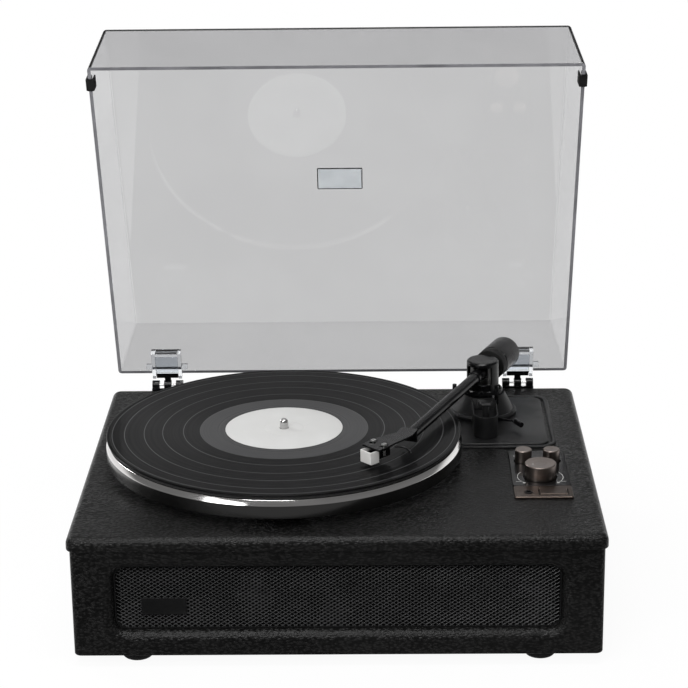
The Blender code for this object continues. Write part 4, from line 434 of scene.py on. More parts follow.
def rubber_foot(node):
    """A turned rubber foot: a wide dome below, a groove round its side and a flat top."""
    radius, _, height = turned_size(node, seat(node))
    corners = [(0, 0), (radius * TREAD_SHARE, 0, TREAD_ROUND), (radius, DOME, DOME_ROUND)]
    corners += [(radius - depth, height * share, SMALL) for share, depth in SIDE_SHARES.items()]
    return turned(rounded([*corners, (0, height)]), FOOT_STEPS, seat(node))


for foot in FEET:
    show(foot, rubber_foot(foot))

# %% [markdown]
# ## The grille
#
# The grille is expanded metal: a sheet is slit and pulled, so that its slits open to diamonds and its
# strands stand a little on edge. Each diamond of a staggered lattice is a hole with four sloped
# strands round it. The strands of neighbours meet on the lattice's lines, so the whole sheet is one
# surface, and a thin rim closes its edge.

# %% Expanded metal
GRILLE_LOW, GRILLE_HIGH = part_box("speaker_grille")
GRILLE_WIDTH, GRILLE_DEPTH, GRILLE_HEIGHT = GRILLE_HIGH - GRILLE_LOW
GRILLE_MIDDLE = (GRILLE_LOW.z + GRILLE_HIGH.z) / 2
DIAMOND_WIDTH = 0.0052
DIAMOND_HEIGHT = 0.0032
STRAND_SHARE = 0.73  # of a diamond that its hole takes
DEPTH_SHARES = (0.12, 0.45, 0.98)  # of the lattice, the hole's front and its back
TILT_SHARES = np.array([0.0, 0.45, 0.0, -0.10])


def expanded_metal():
    """Diamonds centred on (i w, j h) and on the points between them. Each has 8 points on its front,
    4 on the lattice and 4 round the hole, and the hole's front points are repeated at the back."""
    columns = int(GRILLE_WIDTH / DIAMOND_WIDTH) + 1
    rows = int(GRILLE_HEIGHT / DIAMOND_HEIGHT) + 1
    i, j = np.meshgrid(np.arange(-columns, columns + 1), np.arange(-rows, rows + 1))
    keep = (i + j) % 2 == 0
    x = i[keep] * DIAMOND_WIDTH / 2
    z = j[keep] * DIAMOND_HEIGHT / 2
    inside = np.abs(x) < (GRILLE_WIDTH - DIAMOND_WIDTH) / 2
    inside &= np.abs(z) < (GRILLE_HEIGHT - DIAMOND_HEIGHT) / 2
    x = x[inside][:, None]
    z = z[inside][:, None] + GRILLE_MIDDLE

    def ring(share, depth):
        flat_x = x + np.array([1, 0, -1, 0]) * DIAMOND_WIDTH / 2 * share
        flat_z = z + np.array([0, 1, 0, -1]) * DIAMOND_HEIGHT / 2 * share
        y = GRILLE_LOW.y + GRILLE_DEPTH * depth + 0 * flat_x
        return np.stack([flat_x, y, flat_z], -1)

    lattice, hole, back = DEPTH_SHARES
    points = [ring(1.0, lattice), ring(STRAND_SHARE, hole + TILT_SHARES), ring(STRAND_SHARE, back)]
    step = np.arange(4)
    after = (step + 1) % 4
    fronts = np.stack([step, after, 4 + after, 4 + step], -1)
    cell = np.concatenate([fronts, np.stack([4 + step, 4 + after, 8 + after, 8 + step], -1)])
    faces = (np.arange(len(x))[:, None, None] * 12 + cell[None]).reshape(-1, 4)
    mesh = closed_mesh(np.concatenate(points, 1), faces.tolist())
    if mesh.polygons[0].normal.y > 0:
        mesh.flip_normals()
    print("diamonds:", len(x))
    return mesh


# %% The grille's rim, and the black sheet of painted shade behind it
GRILLE_CORNER = 0.0102
RIM_WIDTH = 0.0012
RIM_SLOPE_SHARE = 0.8
SHADE_SHEET_CORNER = 0.0090
SHADE_SHEET_INSET = 0.0020
SHADE_SHEET_THICK = 0.0002
SHADE_SHEET_GAP = 0.0001


def grille_rim():
    """A flat rounded ring that covers the cut ends of the strands."""
    inner = [(RIM_WIDTH, GRILLE_DEPTH * RIM_SLOPE_SHARE), (RIM_WIDTH, 0)]
    profile = [(0, 0), (0, GRILLE_DEPTH), *inner, (0, 0)]
    centre = (0, GRILLE_HIGH.y, GRILLE_MIDDLE)
    return moulded((GRILLE_WIDTH, GRILLE_HEIGHT), GRILLE_CORNER, profile, centre, stand=True, capped=False)


def shade_sheet():
    """A thin black rounded sheet right behind the metal that hides the speakers and darkens the holes:
    painted shade.
    """
    size = (GRILLE_WIDTH - SHADE_SHEET_INSET, GRILLE_HEIGHT - SHADE_SHEET_INSET)
    centre = (0, GRILLE_HIGH.y + SHADE_SHEET_THICK + SHADE_SHEET_GAP, GRILLE_MIDDLE)
    profile = [(0, 0), (0, SHADE_SHEET_THICK), (SHADE_SHEET_INSET, SHADE_SHEET_THICK)]
    return moulded(size, SHADE_SHEET_CORNER, profile, centre, stand=True)


show("speaker_grille", expanded_metal(), degrees=20)
add_trim("grille_rim", shade(grille_rim()), "speaker_grille")
add_trim("shade_sheet", shade(shade_sheet()), "speaker_grille")

# %% The bare plate on the grille
BADGE_EDGE = 0.0003
BADGE_CORNER = 0.0010
BADGE_FACE_SHARES = ((2.6, 0), (3.4, 0.5))  # of the edge: how far in, and how deep


def badge():
    """A bare plate with a rounded edge and a slightly sunk face."""
    low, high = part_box("badge_plate")
    size = high - low
    face = [(BADGE_EDGE * inset, size.y - BADGE_EDGE * depth) for inset, depth in BADGE_FACE_SHARES]
    profile = np.concatenate([[(0, 0)], quarter_round(BADGE_EDGE, size.y, 6), face])
    centre = ((low.x + high.x) / 2, high.y, (low.z + high.z) / 2)
    return moulded((size.x, size.z), BADGE_CORNER, profile, centre, stand=True)


show("badge_plate", badge())

# %% [markdown]
# ## Platter, mat and record
#
# The platter is turned from a casting: a polished bevel above a finely brushed side. The record has
# a raised bead at its rim and a label area, and its sides are cut into tracks. Between two tracks
# the groove runs wider apart, which shows as a thin ring. Those rings are real steps in the surface
# here, and the grooves between them are left to the material, because they are far finer than the
# mesh.

# %% The platter
SPINDLE = AXIS_OF["platter_spin"]
PLATTER_STEPS = 288
BORE = 0.0039
BEVEL_TOP = 0.0030
BEVEL_HEIGHT = 0.0045
BEVEL_IN = 0.0022
SKIRT = 0.0155
SKIRT_WALL = 0.0055
SKIRT_ROUND = 0.0005
WEB = 0.0040
DRIVE_RING = 0.0660
DRIVE_WALL = 0.0035
DRIVE_LIFT = 0.0015
HUB = 0.0140


def platter():
    """The turned platter, drawn from the bore outward over the top and back underneath."""
    radius, hub_low, top = turned_size("platter", SPINDLE)
    low = top - SKIRT
    web = top - WEB
    bevel_low = top - BEVEL_HEIGHT
    return turned(rounded([
        (BORE, top),
        (radius - BEVEL_IN - BEVEL_TOP, top, FINE),
        (radius - BEVEL_IN, top - HAIR, SMALL),
        (radius - HAIR, bevel_low, THIN),
        (radius, bevel_low - THIN, FINE),
        (radius, low, SKIRT_ROUND),
        (radius - SKIRT_WALL, low, SKIRT_ROUND),
        (radius - SKIRT_WALL, web, WIDE),
        (DRIVE_RING, web, SOFT),
        (DRIVE_RING, low + DRIVE_LIFT, SMALL),
        (DRIVE_RING - DRIVE_WALL, low + DRIVE_LIFT, SMALL),
        (DRIVE_RING - DRIVE_WALL, web, SOFT),
        (HUB, web, SOFT),
        (HUB, hub_low, SMALL),
        (BORE, hub_low, 0),
        (BORE, top),
    ]), PLATTER_STEPS, SPINDLE)


show("platter", platter())

# %% The record and its tracks
RECORD_STEPS = 256
DISH = 0.0003
LABEL_RADIUS = 0.0500
LABEL_THICK = 0.0003
SHOULDER = 0.0022
SHOULDER_RISE = 0.00015
TRACK_ENDS = (0.1462, 0.1357, 0.1191, 0.1034, 0.0857, 0.0715)
TRACK_DIP = 0.00006
TRACK_GAP = 0.0010
LOCK_GROOVE = 0.0560
LOCK_WIDTH = 0.0008
LEAD_IN = 0.0040
BEAD = ((0.0026, 0.00008), (0.0018, 0))  # from the rim, and below the top


def record_height(radius):
    """The height of the playing side: the dish, less a bell-shaped dip exp(-d^2) at each track's end
    and a deeper one at the last groove."""
    flat = np.zeros_like(radius) - DISH
    for end in TRACK_ENDS:
        flat = flat - TRACK_DIP * np.exp(-(((radius - end) / (TRACK_GAP / 2)) ** 2))
    return flat - TRACK_DIP * 2 * np.exp(-(((radius - LOCK_GROOVE) / (LOCK_WIDTH / 2)) ** 2))


def record():
    """The record's section: bore, label recess, shoulder, tracks, bead, round rim and underside."""
    rim_radius, bottom, top = turned_size("record", SPINDLE)
    plain = np.linspace(LABEL_RADIUS + SHOULDER, rim_radius - LEAD_IN, 60)
    near = np.concatenate([end + TRACK_GAP * np.linspace(-1, 1, 9) for end in TRACK_ENDS])
    lock = LOCK_GROOVE + LOCK_WIDTH * np.linspace(-1, 1, 9)
    radius = np.unique(np.concatenate([plain, near, lock]).round(6))
    tracks = np.stack([radius, top + record_height(radius)], -1)
    recess = top - DISH - LABEL_THICK
    inner = [(BORE, recess), (LABEL_RADIUS + THIN, recess), (LABEL_RADIUS + SOFT, recess + SHOULDER_RISE)]
    turn = np.linspace(0, np.pi, 11)
    half = (top - DISH - bottom) / 2
    rim = np.stack([rim_radius - half + half * np.sin(turn), bottom + half + half * np.cos(turn)], -1)
    bead = [(rim_radius - inset, top - drop) for inset, drop in BEAD]
    section = np.concatenate([inner, tracks, bead, rim, [(BORE, bottom)], inner[:1]])
    return turned(section, RECORD_STEPS, SPINDLE)


# %% The mat, the label and the spindle
DISC_STEPS = 192
SPINDLE_STEPS = 64
MAT_ROUND = 0.0009
PAPER_ROUND = 0.00008
LABEL_ROUND = 0.00015
PRESSED_RING = {0.0158: 0, 0.0164: HAIR, 0.0172: HAIR, 0.0178: 0}  # radius and depth
SPINDLE_CLEARANCE = 0.0003
POINT_SHARES = {0.50: (0.0002, MEDIUM), 0.86: (0.0012, SOFT), 1.0: (0.0030, SOFT)}
COLLAR_LOW = 0.0026


def slip_mat():
    """A felt disc with a rounded edge."""
    radius, bottom, top = turned_size("slip_mat", SPINDLE)
    edge = [(BORE, top, SMALL), (radius, top, MAT_ROUND), (radius, bottom, MEDIUM)]
    return turned(rounded([(BORE, bottom), *edge, (BORE, bottom)]), DISC_STEPS, SPINDLE)


def record_label():
    """The paper label: a thin disc with the pressed ring that a label carries near its middle."""
    radius, bottom, top = turned_size("record_label", SPINDLE)
    pressed = [(place, top - depth, FINE) for place, depth in PRESSED_RING.items()]
    edge = [(BORE, top, PAPER_ROUND), *pressed, (radius, top, LABEL_ROUND), (radius, bottom, 0)]
    return turned(rounded([(BORE, bottom), *edge, (BORE, bottom)]), DISC_STEPS, SPINDLE)


def spindle():
    """The steel spindle: a rounded point, a straight body and the collar that carries the hub."""
    collar, bottom, top = turned_size("spindle", SPINDLE)
    collar_top = turned_size("platter", SPINDLE)[1] - THIN
    radius = BORE - SPINDLE_CLEARANCE
    point = [(radius * share, top - drop, edge) for share, (drop, edge) in POINT_SHARES.items()]
    return turned(rounded([
        (0, top),
        *point,
        (radius, collar_top, HAIR),
        (collar, collar_top, THIN),
        (collar, COLLAR_LOW, THIN),
        (radius, COLLAR_LOW, HAIR),
        (radius, bottom, SMALL),
        (0, bottom),
    ]), SPINDLE_STEPS, SPINDLE)


show("slip_mat", slip_mat())
show("record", record(), degrees=50)
show("record_label", record_label(), degrees=50)
show("spindle", spindle())
print("tracks:", len(TRACK_ENDS) - 1)

# %% [markdown]
# ## The tonearm board and the pillar
#
# The board is a thin plate with a soft edge inside a raised trim. The pillar is a turned cone on a
# flange, with an open trough in front that holds the arm rest.

# %% The board and its trim
BOARD_LOW, BOARD_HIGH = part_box("tonearm_board")
BOARD_SIZE = BOARD_HIGH - BOARD_LOW
BOARD_CORNER = 0.0090
BOARD_ROUND = 0.0011
BOARD_BORDER = 0.0030
TRIM_WIDTH = 0.0038
TRIM_RISE_SHARE = 0.45


def tonearm_board():
    """A flat plate with a quarter round at its upper edge."""
    inner = [(BOARD_ROUND + BOARD_BORDER, BOARD_SIZE.z)]
    profile = np.concatenate([[(0, 0)], quarter_round(BOARD_ROUND, BOARD_SIZE.z, 7), inner])
    return moulded(BOARD_SIZE, BOARD_CORNER, profile, seat("tonearm_board"))


def board_trim():
    """A half-round strip round the board: inset = w/2 (1 - cos u), height = h - r (1 - sin u)."""
    low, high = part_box("board_trim")
    size = high - low
    turn = np.linspace(0, np.pi, 13)
    rise = size.z * TRIM_RISE_SHARE
    curve = np.stack([TRIM_WIDTH / 2 * (1 - np.cos(turn)), size.z - rise * (1 - np.sin(turn))], -1)
    profile = np.concatenate([[(0, 0)], curve, [(TRIM_WIDTH, 0), (0, 0)]])
    corner = BOARD_CORNER + (size.x - BOARD_SIZE.x) / 2
    return moulded(size, corner, profile, seat("board_trim"), capped=False)


show("tonearm_board", tonearm_board())
show("board_trim", board_trim(), degrees=50)
fine_edged(MOULDED_EDGE, "tonearm_base", segments=3)
fine_edged(CAST_EDGE, "arm_housing")
fine_edged(PLATE_EDGE, "rest_clip", "cue_platform")

# %% [markdown]
# ## The tonearm
#
# The arm is drawn along -Y from its pivot, then turned to where it plays and tilted down a little.
# One matrix carries every piece from the arm's own axes to the object's.

# %% The arm's own axes, and its tube
ARM_PLAN_ANGLE = math.radians(-23.85)
ARM_SLOPE = math.radians(0.95)
ARM_TURN = Matrix.Rotation(ARM_PLAN_ANGLE, 4, "Z") @ Matrix.Rotation(ARM_SLOPE, 4, "X")
ARM_FRAME = Matrix.Translation(AXIS_OF["arm_lift"]) @ ARM_TURN
TUBE_STEPS = 72
TUBE_RADIUS = 0.0050
SLEEVE_RADIUS = 0.0061
SLEEVE_END = 0.0220
SLEEVE_BACK = 0.0085
SLEEVE_BEAD = 0.0017
STUB_RADIUS = 0.0040
STUB_END = 0.0527
HEADSHELL_REAR = 0.1676
PIN_HOLE = 0.0018
PIN_REACH = 0.0081


def arm_lathe(profile, steps):
    """A (radius, distance) profile turned about the arm's axis; distance runs back, towards +Y."""
    mesh = mesh_from_grid(lathe(profile, steps)[..., [0, 2, 1]])
    mesh.transform(ARM_FRAME)
    return mesh


def arm_point(across, along, above):
    """A point of the arm's own axes, in the object's."""
    return ARM_FRAME @ Vector((across, along, above))


def arm_tube():
    """The stub for the weight, the sleeve at the pivot with its collar, and the straight tube."""
    profile = rounded([
        (0, STUB_END),
        (STUB_RADIUS, STUB_END, SMALL),
        (STUB_RADIUS, SLEEVE_BACK, THIN),
        (SLEEVE_RADIUS, SLEEVE_BACK, SMALL),
        (SLEEVE_RADIUS, SLEEVE_BEAD - SLEEVE_END, FINE),
        (SLEEVE_RADIUS, -SLEEVE_END, MEDIUM),
        (TUBE_RADIUS, -SLEEVE_END, THIN),
        (TUBE_RADIUS, THIN - HEADSHELL_REAR, THIN),
        (0, THIN - HEADSHELL_REAR),
    ])
    pin = (arm_point(-PIN_REACH, 0, 0), arm_point(PIN_REACH, 0, 0))
    return drilled(arm_lathe(profile, TUBE_STEPS), [(pin, PIN_HOLE)])


show("arm_tube", arm_tube())

# %% The counterweight
WEIGHT_STEPS = 96
WEIGHT_RADIUS = 0.0142
WEIGHT_ROUND = 0.0012
WEIGHT_FRONT_ROUND = 0.0009
WEIGHT_END = 0.0570
WEIGHT_WALL = 0.0040
RECESS_RADIUS = 0.0078
RING_RADIUS = 0.0140
RING_ROUND = 0.0008
RING_FACE = 0.0022
RING_START = 0.0162
RING_END = 0.0255
STUB_BORE = STUB_RADIUS + THIN


def counterweight():
    """A turned weight, blind at its back, with a shallow ring turned into its end face."""
    return arm_lathe(rounded([
        (0, WEIGHT_END - MEDIUM),
        (RECESS_RADIUS, WEIGHT_END - MEDIUM, THIN),
        (RECESS_RADIUS + MEDIUM, WEIGHT_END, THIN),
        (WEIGHT_RADIUS, WEIGHT_END, WEIGHT_ROUND),
        (WEIGHT_RADIUS, RING_END, WEIGHT_FRONT_ROUND),
        (STUB_BORE, RING_END, FINE),
        (STUB_BORE, WEIGHT_END - WEIGHT_WALL, 0),
        (0, WEIGHT_END - WEIGHT_WALL),
    ]), WEIGHT_STEPS)


def counterweight_ring():
    """The dark ring in front of the weight, turned by hand to set the tracking force."""
    return arm_lathe(rounded([
        (STUB_BORE, RING_END - THIN),
        (RING_RADIUS, RING_END - THIN, SMALL),
        (RING_RADIUS, RING_START, RING_ROUND),
        (RING_RADIUS - RING_FACE, RING_START, FINE),
        (STUB_BORE, RING_START, 0),
        (STUB_BORE, RING_END - THIN),
    ]), WEIGHT_STEPS)


show("counterweight", counterweight())
show("counterweight_ring", counterweight_ring())

# %% Headshell, finger lift and cartridge
LIFT_STEPS = 20
LIFT_START = (0.0018, -0.2040)
LIFT_REACH = 0.0150
LIFT_BOW = 0.0030
LIFT_DROP = 0.0035
LIFT_RADIUS = 0.0009
LIFT_THINNING = 0.25
LIFT_TIP_SHARE = 0.45


def finger_lift():
    """The lift bows out by b sin(pi s) and drops by d s^2 toward its slightly thinner tip."""
    share = np.linspace(0, 1, 24)
    across = LIFT_START[0] + LIFT_REACH * share
    along = LIFT_START[1] + LIFT_BOW * np.sin(np.pi * share)
    above = TUBE_RADIUS - LIFT_RADIUS - LIFT_DROP * share**2
    radii = LIFT_RADIUS * (1 - LIFT_THINNING * share)
    radii[[0, -1]] = LIFT_RADIUS * LIFT_TIP_SHARE
    return swept([arm_point(*point) for point in zip(across, along, above)], radii, LIFT_STEPS)


show("finger_lift", finger_lift(), degrees=60)
fine_edged(HEADSHELL_EDGE, "headshell")
fine_edged(PLATE_EDGE, "cartridge_body")
fine_edged(PLATE_EDGE, "cartridge_cap", segments=3)
fine_edged(SCREW_EDGE, *both("headshell_screw"))
fine_edged(PLATE_EDGE, "cue_lever")

# %% [markdown]
# ## The control panel
#
# Two plates lie end to end: a dark glossy one round the knobs and a brushed bronze one with the
# button and the socket. The knobs are turned bars with a fine chamfer that catches the light, and a
# very shallow dish in the top.

# %% Panel plates, button, socket and turned knobs
KNOB_STEPS = {"volume_knob": 128, "knob_left": 96, "knob_right": 96}
KNOB_SHAFT = 0.0030
KNOB_GAP = 0.0006
KNOB_SKIRT = 0.0011
KNOB_LIP = 0.0012
KNOB_CHAMFER = 0.0007
KNOB_DISH_SHARES = (0.030, 0.018, 0.55)
fine_edged(PLATE_EDGE, "panel_rear", "panel_front", "push_button")
fine_edged(SOCKET_EDGE, "jack_socket")


def knob(node):
    """A knob's section: a dished top, a two-step chamfer, side, skirt and shaft."""
    place = AXIS_OF[KNOB_JOINTS[node]]
    radius, bottom, top = turned_size(node, place)
    middle, slope, reach = KNOB_DISH_SHARES
    return turned(rounded([
        (0, top - radius * middle),
        (radius * reach, top - radius * slope, WIDE),
        (radius - KNOB_LIP, top, THIN),
        (radius - KNOB_LIP / 2, top, FINE),
        (radius, top - KNOB_CHAMFER, FINE),
        (radius, KNOB_SKIRT, FINE),
        (radius - THIN, KNOB_GAP, HAIR),
        (KNOB_SHAFT, KNOB_GAP, HAIR),
        (KNOB_SHAFT, bottom, THIN),
        (0, bottom),
    ]), KNOB_STEPS[node], place)


for node in KNOB_JOINTS:
    show(node, knob(node))

# %% [markdown]
# The scale round the volume knob is screen-printed: a curved arrow on each side, a short mark at
# each end of the turn, and a pale dot. Print is thin, but it is a real layer, so each mark is a strip
# a few hundredths of a millimetre high that lies on the plate.

# %% The printed scale
VOLUME_PLACE = AXIS_OF["volume_turn"]
PANEL_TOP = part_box("panel_rear")[1].z
VOLUME_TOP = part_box("volume_knob")[1].z
INK = 0.00004
LINE = 0.00038
SCALE_RADIUS = 0.0190
SCALE_TURN = np.radians([146, 226])
BARB = 0.0024
BARB_LEAN = 0.60
END_MARK = (0.0187, -0.0102, 0.0022)  # across, along, and half its length
DOT_STEPS = 24
DOT_RADIUS = 0.0006
PANEL_DOT = (0.1491, VOLUME_PLACE.y + 0.0476, PANEL_TOP)
KNOB_DOT = (VOLUME_PLACE.x - 0.0065, VOLUME_PLACE.y - 0.0030, VOLUME_TOP - 0.00015)


def strip(line):
    """A flat strip along a line of (x, y) points, one line wide, lying on the panel."""
    direction = np.gradient(line, axis=0)
    direction = direction / np.linalg.norm(direction, axis=1)[:, None]
    side = np.stack([-direction[:, 1], direction[:, 0]], -1) * LINE / 2
    low = PANEL_TOP - INK / 4
    high = PANEL_TOP + INK
    ring = [(line + side, low), (line - side, low), (line - side, high), (line + side, high)]
    points = [np.column_stack([edge, np.full(len(edge), z)]) for edge, z in ring]
    return mesh_from_grid(np.stack(points, 1), capped=True)


def printed_scale():
    """Two arrows on a circle round the knob, and an end mark beside each."""
    centre = np.array(VOLUME_PLACE.xy)
    mesh = bpy.data.meshes.new("printed_scale")
    with edited(mesh) as whole:
        for sign in (-1, 1):
            turn = np.linspace(*SCALE_TURN, 30)
            arc = centre + SCALE_RADIUS * np.stack([-sign * np.cos(turn), np.sin(turn)], -1)
            whole.from_mesh(strip(arc))
            heading = (arc[-1] - arc[-2]) / np.linalg.norm(arc[-1] - arc[-2])
            for lean in (-BARB_LEAN, BARB_LEAN):
                turned_back = np.array(Matrix.Rotation(lean, 2)) @ -heading
                whole.from_mesh(strip(np.linspace(arc[-1], arc[-1] + turned_back * BARB, 4)))
            across, along, half = END_MARK
            end = centre + [sign * across, along]
            whole.from_mesh(strip(np.linspace(end - [half, 0], end + [half, 0], 4)))
    return mesh


def dot(place):
    """A round printed dot."""
    profile = [(0, INK), (DOT_RADIUS, INK), (DOT_RADIUS, -INK / 4), (0, -INK / 4)]
    return turned(np.array(profile), DOT_STEPS, place)


scale = add_trim("printed_scale", printed_scale(), "panel_rear")
add_trim("panel_dot", dot(PANEL_DOT), "panel_rear")
add_trim("knob_dot", dot(KNOB_DOT), "volume_knob")
print("printed marks:", len(scale.data.polygons), "faces")

# %% [markdown]
# ## The dust cover and its hinges
#
# The cover is a moulded clear shell: a shallow tray with leaning walls. Clear plastic shows its
# thickness at every edge, so the wall is solid and its rim is rounded. Each hinge is a black bracket
# with a pin, and a tongue that slides into a clear pocket on the cover.

# %% Cover, hinges, bumpers, the bare plate in the lid, and the back
POCKET_LOW, POCKET_HIGH = (corner.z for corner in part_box("hinge_pocket_left"))
TONGUE_SHARE = 0.16  # of the pocket's height, where the black tongue ends
TONGUE_LINE = POCKET_LOW + TONGUE_SHARE * (POCKET_HIGH - POCKET_LOW)
fine_edged(MOULDED_EDGE, "dust_cover")
fine_edged(PLATE_EDGE, *both("hinge_pocket"))
fine_edged(MOULDED_EDGE, *both("hinge_tongue"), *both("hinge_bracket"))
fine_edged(SAWN_EDGE, *both("bumper"), segments=3)
fine_edged(FOIL_EDGE, "lid_badge")
fine_edged(PLATE_EDGE, "rear_panel")
fine_edged(MOULDED_EDGE, *both("speaker"))


def cut_line(mesh, height):
    """Add edges where a level plane crosses the mesh, so that two finishes can meet there."""
    with edited(mesh) as tidy:
        whole = tidy.verts[:] + tidy.edges[:] + tidy.faces[:]
        bmesh.ops.bisect_plane(tidy, geom=whole, dist=WELD, plane_co=(0, 0, height), plane_no=(0, 0, 1))


for node in both("hinge_tongue"):
    cut_line(PIECES[node].data, TONGUE_LINE)
print("pieces made:", len(PIECES))

# %% [markdown]
# ## Node groups
#
# A finish is built from a few effects that several materials share. Each effect is a node group
# with named sockets, made once. A group gives only masks, tones and heights; the shader stays in
# the material, where its plain values are easy to read.

# %% Short ways to add nodes


def add(tree, kind, inputs=None, **settings):
    """Add a node with its settings. An input that is given a socket is linked, any other is set."""
    made = tree.nodes.new("ShaderNode" + kind)
    for key, value in settings.items():
        setattr(made, key, value)
    for key, value in (inputs or {}).items():
        if isinstance(value, bpy.types.NodeSocket):
            tree.links.new(value, made.inputs[key])
        else:
            made.inputs[key].default_value = value
    return made


def maths(tree, operation, *values):
    return add(tree, "Math", dict(enumerate(values)), operation=operation).outputs[0]


def vector_maths(tree, operation, inputs, out="Vector"):
    return add(tree, "VectorMath", inputs, operation=operation).outputs[out]


def blend(tree, first, second, share):
    """Two masks as one, with the second's share."""
    kept = maths(tree, "MULTIPLY", first, 1 - share)
    return maths(tree, "ADD", kept, maths(tree, "MULTIPLY", second, share))


def remap(tree, value, low, high, to_low=0.0, to_high=1.0):
    """Map a range of a value to another range, clamped and eased."""
    ends = {"From Min": low, "From Max": high, "To Min": to_low, "To Max": to_high}
    return add(tree, "MapRange", {"Value": value, **ends}, interpolation_type="SMOOTHSTEP").outputs["Result"]


def noise(tree, vector, scale, detail, roughness=0.5):
    values = {"Vector": vector, "Scale": scale, "Detail": detail, "Roughness": roughness}
    return add(tree, "TexNoise", values).outputs[0]


def mapped(tree, vector, **values):
    return add(tree, "Mapping", {"Vector": vector, **values}).outputs[0]


def from_axis(tree, vector):
    """The distance from the vertical axis, sqrt(x^2 + y^2), and the three coordinates."""
    parts = add(tree, "SeparateXYZ", {"Vector": vector}).outputs
    flat = add(tree, "CombineXYZ", {"X": parts["X"], "Y": parts["Y"]}).outputs[0]
    return vector_maths(tree, "LENGTH", {0: flat}, "Value"), parts


# %% Opening and closing a node group
BROAD_TONE = (0.3, 0.7)  # the part of a noise's range that a tone uses


def new_group(name, size, default):
    """A node group with a Vector and one named size, and those two as sockets."""
    group = bpy.data.node_groups.new(name, "ShaderNodeTree")
    group.interface.new_socket("Vector", in_out="INPUT", socket_type="NodeSocketVector")
    group.interface.new_socket(size, in_out="INPUT", socket_type="NodeSocketFloat").default_value = default
    given = group.nodes.new("NodeGroupInput").outputs
    return group, given["Vector"], given[size]


def put_out(tree, **masks):
    """Give the group an output for each mask."""
    names = {key: key.replace("_", " ") for key in masks}
    for name in names.values():
        tree.interface.new_socket(name, in_out="OUTPUT", socket_type="NodeSocketFloat")
    out = tree.nodes.new("NodeGroupOutput").inputs
    for key, name in names.items():
        tree.links.new(masks[key], out[name])
    print("node group:", tree.name, sorted(names.values()))
    return tree


def height_and_tone(tree, vector, scale, detail, broad_share, broad_detail):
    """A fine noise as height, and a broader one as tone."""
    broad = noise(tree, vector, maths(tree, "MULTIPLY", scale, broad_share), broad_detail)
    return put_out(tree, Height=noise(tree, vector, scale, detail), Tone=remap(tree, broad, *BROAD_TONE))


# %% [markdown]
# ### Leatherette
#
# Leatherette is plastic film pressed against a grained roller: small rounded pebbles, a little
# longer across the grain, with creases between them. Cells from a Voronoi pattern are the pebbles,
# and a noise bends them so that no two look alike.

# %% The pebble group
BEND = 0.0009
BEND_SCALE = 420.0
STRETCH = (0.40, 1.0, 1.0)
PEBBLE_EDGE = (0.72, 0.08)  # shares of a cell where its dome is down, and where it is up
FINE_GRAIN = (2600.0, 3.0, 0.6)
FINE_SHARE = 0.15


def pebble_group():
    """Domes round the middle of each cell, bent by noise and longer along X, plus a finer grain."""
    tree, where, size = new_group("leatherette_pebbles", "Pebble size", 0.0011)
    bend = add(tree, "TexNoise", {"Vector": where, "Scale": BEND_SCALE, "Detail": 2.0}).outputs["Color"]
    shift = vector_maths(tree, "SUBTRACT", {0: bend, 1: (0.5, 0.5, 0.5)})
    small = vector_maths(tree, "SCALE", {0: shift, "Scale": BEND})
    place = mapped(tree, vector_maths(tree, "ADD", {0: where, 1: small}), Scale=STRETCH)
    scale = maths(tree, "DIVIDE", 1.0, size)
    cells = add(tree, "TexVoronoi", {"Vector": place, "Scale": scale, "Randomness": 0.9})
    pebble = remap(tree, cells.outputs["Distance"], *PEBBLE_EDGE)
    height = blend(tree, pebble, noise(tree, where, *FINE_GRAIN), FINE_SHARE)
    return put_out(tree, Height=height, Crease=maths(tree, "SUBTRACT", 1.0, pebble))


# %% Handling marks and moulded grain
CLOUD_RANGE = (0.35, 0.70)  # of a noise's range
STREAK_RANGE = (0.40, 0.70)
STREAK_SQUEEZE = (1.0, 9.0, 9.0)


def handling_group():
    """Slow clouds of tone and gloss, and long streaks, as on any surface that is touched and wiped."""
    tree, where, size = new_group("handling_marks", "Size", 0.06)
    scale = maths(tree, "DIVIDE", 1.0, size)
    cloud = noise(tree, where, scale, 5.0)
    streak = noise(tree, mapped(tree, where, Scale=STREAK_SQUEEZE), scale, 4.0)
    return put_out(tree, Cloud=remap(tree, cloud, *CLOUD_RANGE), Streak=remap(tree, streak, *STREAK_RANGE))


def grain_group():
    """The fine sparked texture of a moulding tool, or the bloom of powder coat."""
    tree, where, size = new_group("moulded_grain", "Grain size", 0.0004)
    scale = maths(tree, "DIVIDE", 1.0, size)
    return height_and_tone(tree, where, scale, detail=3.0, broad_share=0.02, broad_detail=4.0)


PEBBLES = pebble_group()
HANDLING = handling_group()
GRAIN = grain_group()

# %% [markdown]
# ### Turned and brushed metal
#
# A lathe leaves lines that run round the axis, so their pattern depends only on the distance from
# the axis and the height. Brushing leaves straight lines, so the pattern is a noise stretched along
# one axis.

# %% Turned and brushed lines
CHANGE_ROUND = 1.3  # how much a line changes on its way round
BRUSH_SQUEEZE = (0.02, 1.0, 1.0)


def turned_lines_group():
    """Lines that follow the turning: noise of (radius, height), nearly constant round the axis."""
    tree, where, size = new_group("turned_lines", "Line", 0.00035)
    radius, parts = from_axis(tree, where)
    angle = maths(tree, "ARCTAN2", parts["Y"], parts["X"])
    pattern = add(tree, "CombineXYZ", {
        "X": maths(tree, "DIVIDE", radius, size),
        "Y": maths(tree, "DIVIDE", parts["Z"], size),
        "Z": maths(tree, "MULTIPLY", angle, CHANGE_ROUND),
    })
    return height_and_tone(tree, pattern.outputs[0], 1.0, detail=3.0, broad_share=0.12, broad_detail=2.0)


def brushed_lines_group():
    """Straight lines along X: noise squeezed across them."""
    tree, where, size = new_group("brushed_lines", "Line", 0.0003)
    along = mapped(tree, where, Scale=BRUSH_SQUEEZE)
    scale = maths(tree, "DIVIDE", 1.0, size)
    return height_and_tone(tree, along, scale, detail=4.0, broad_share=0.15, broad_detail=2.0)


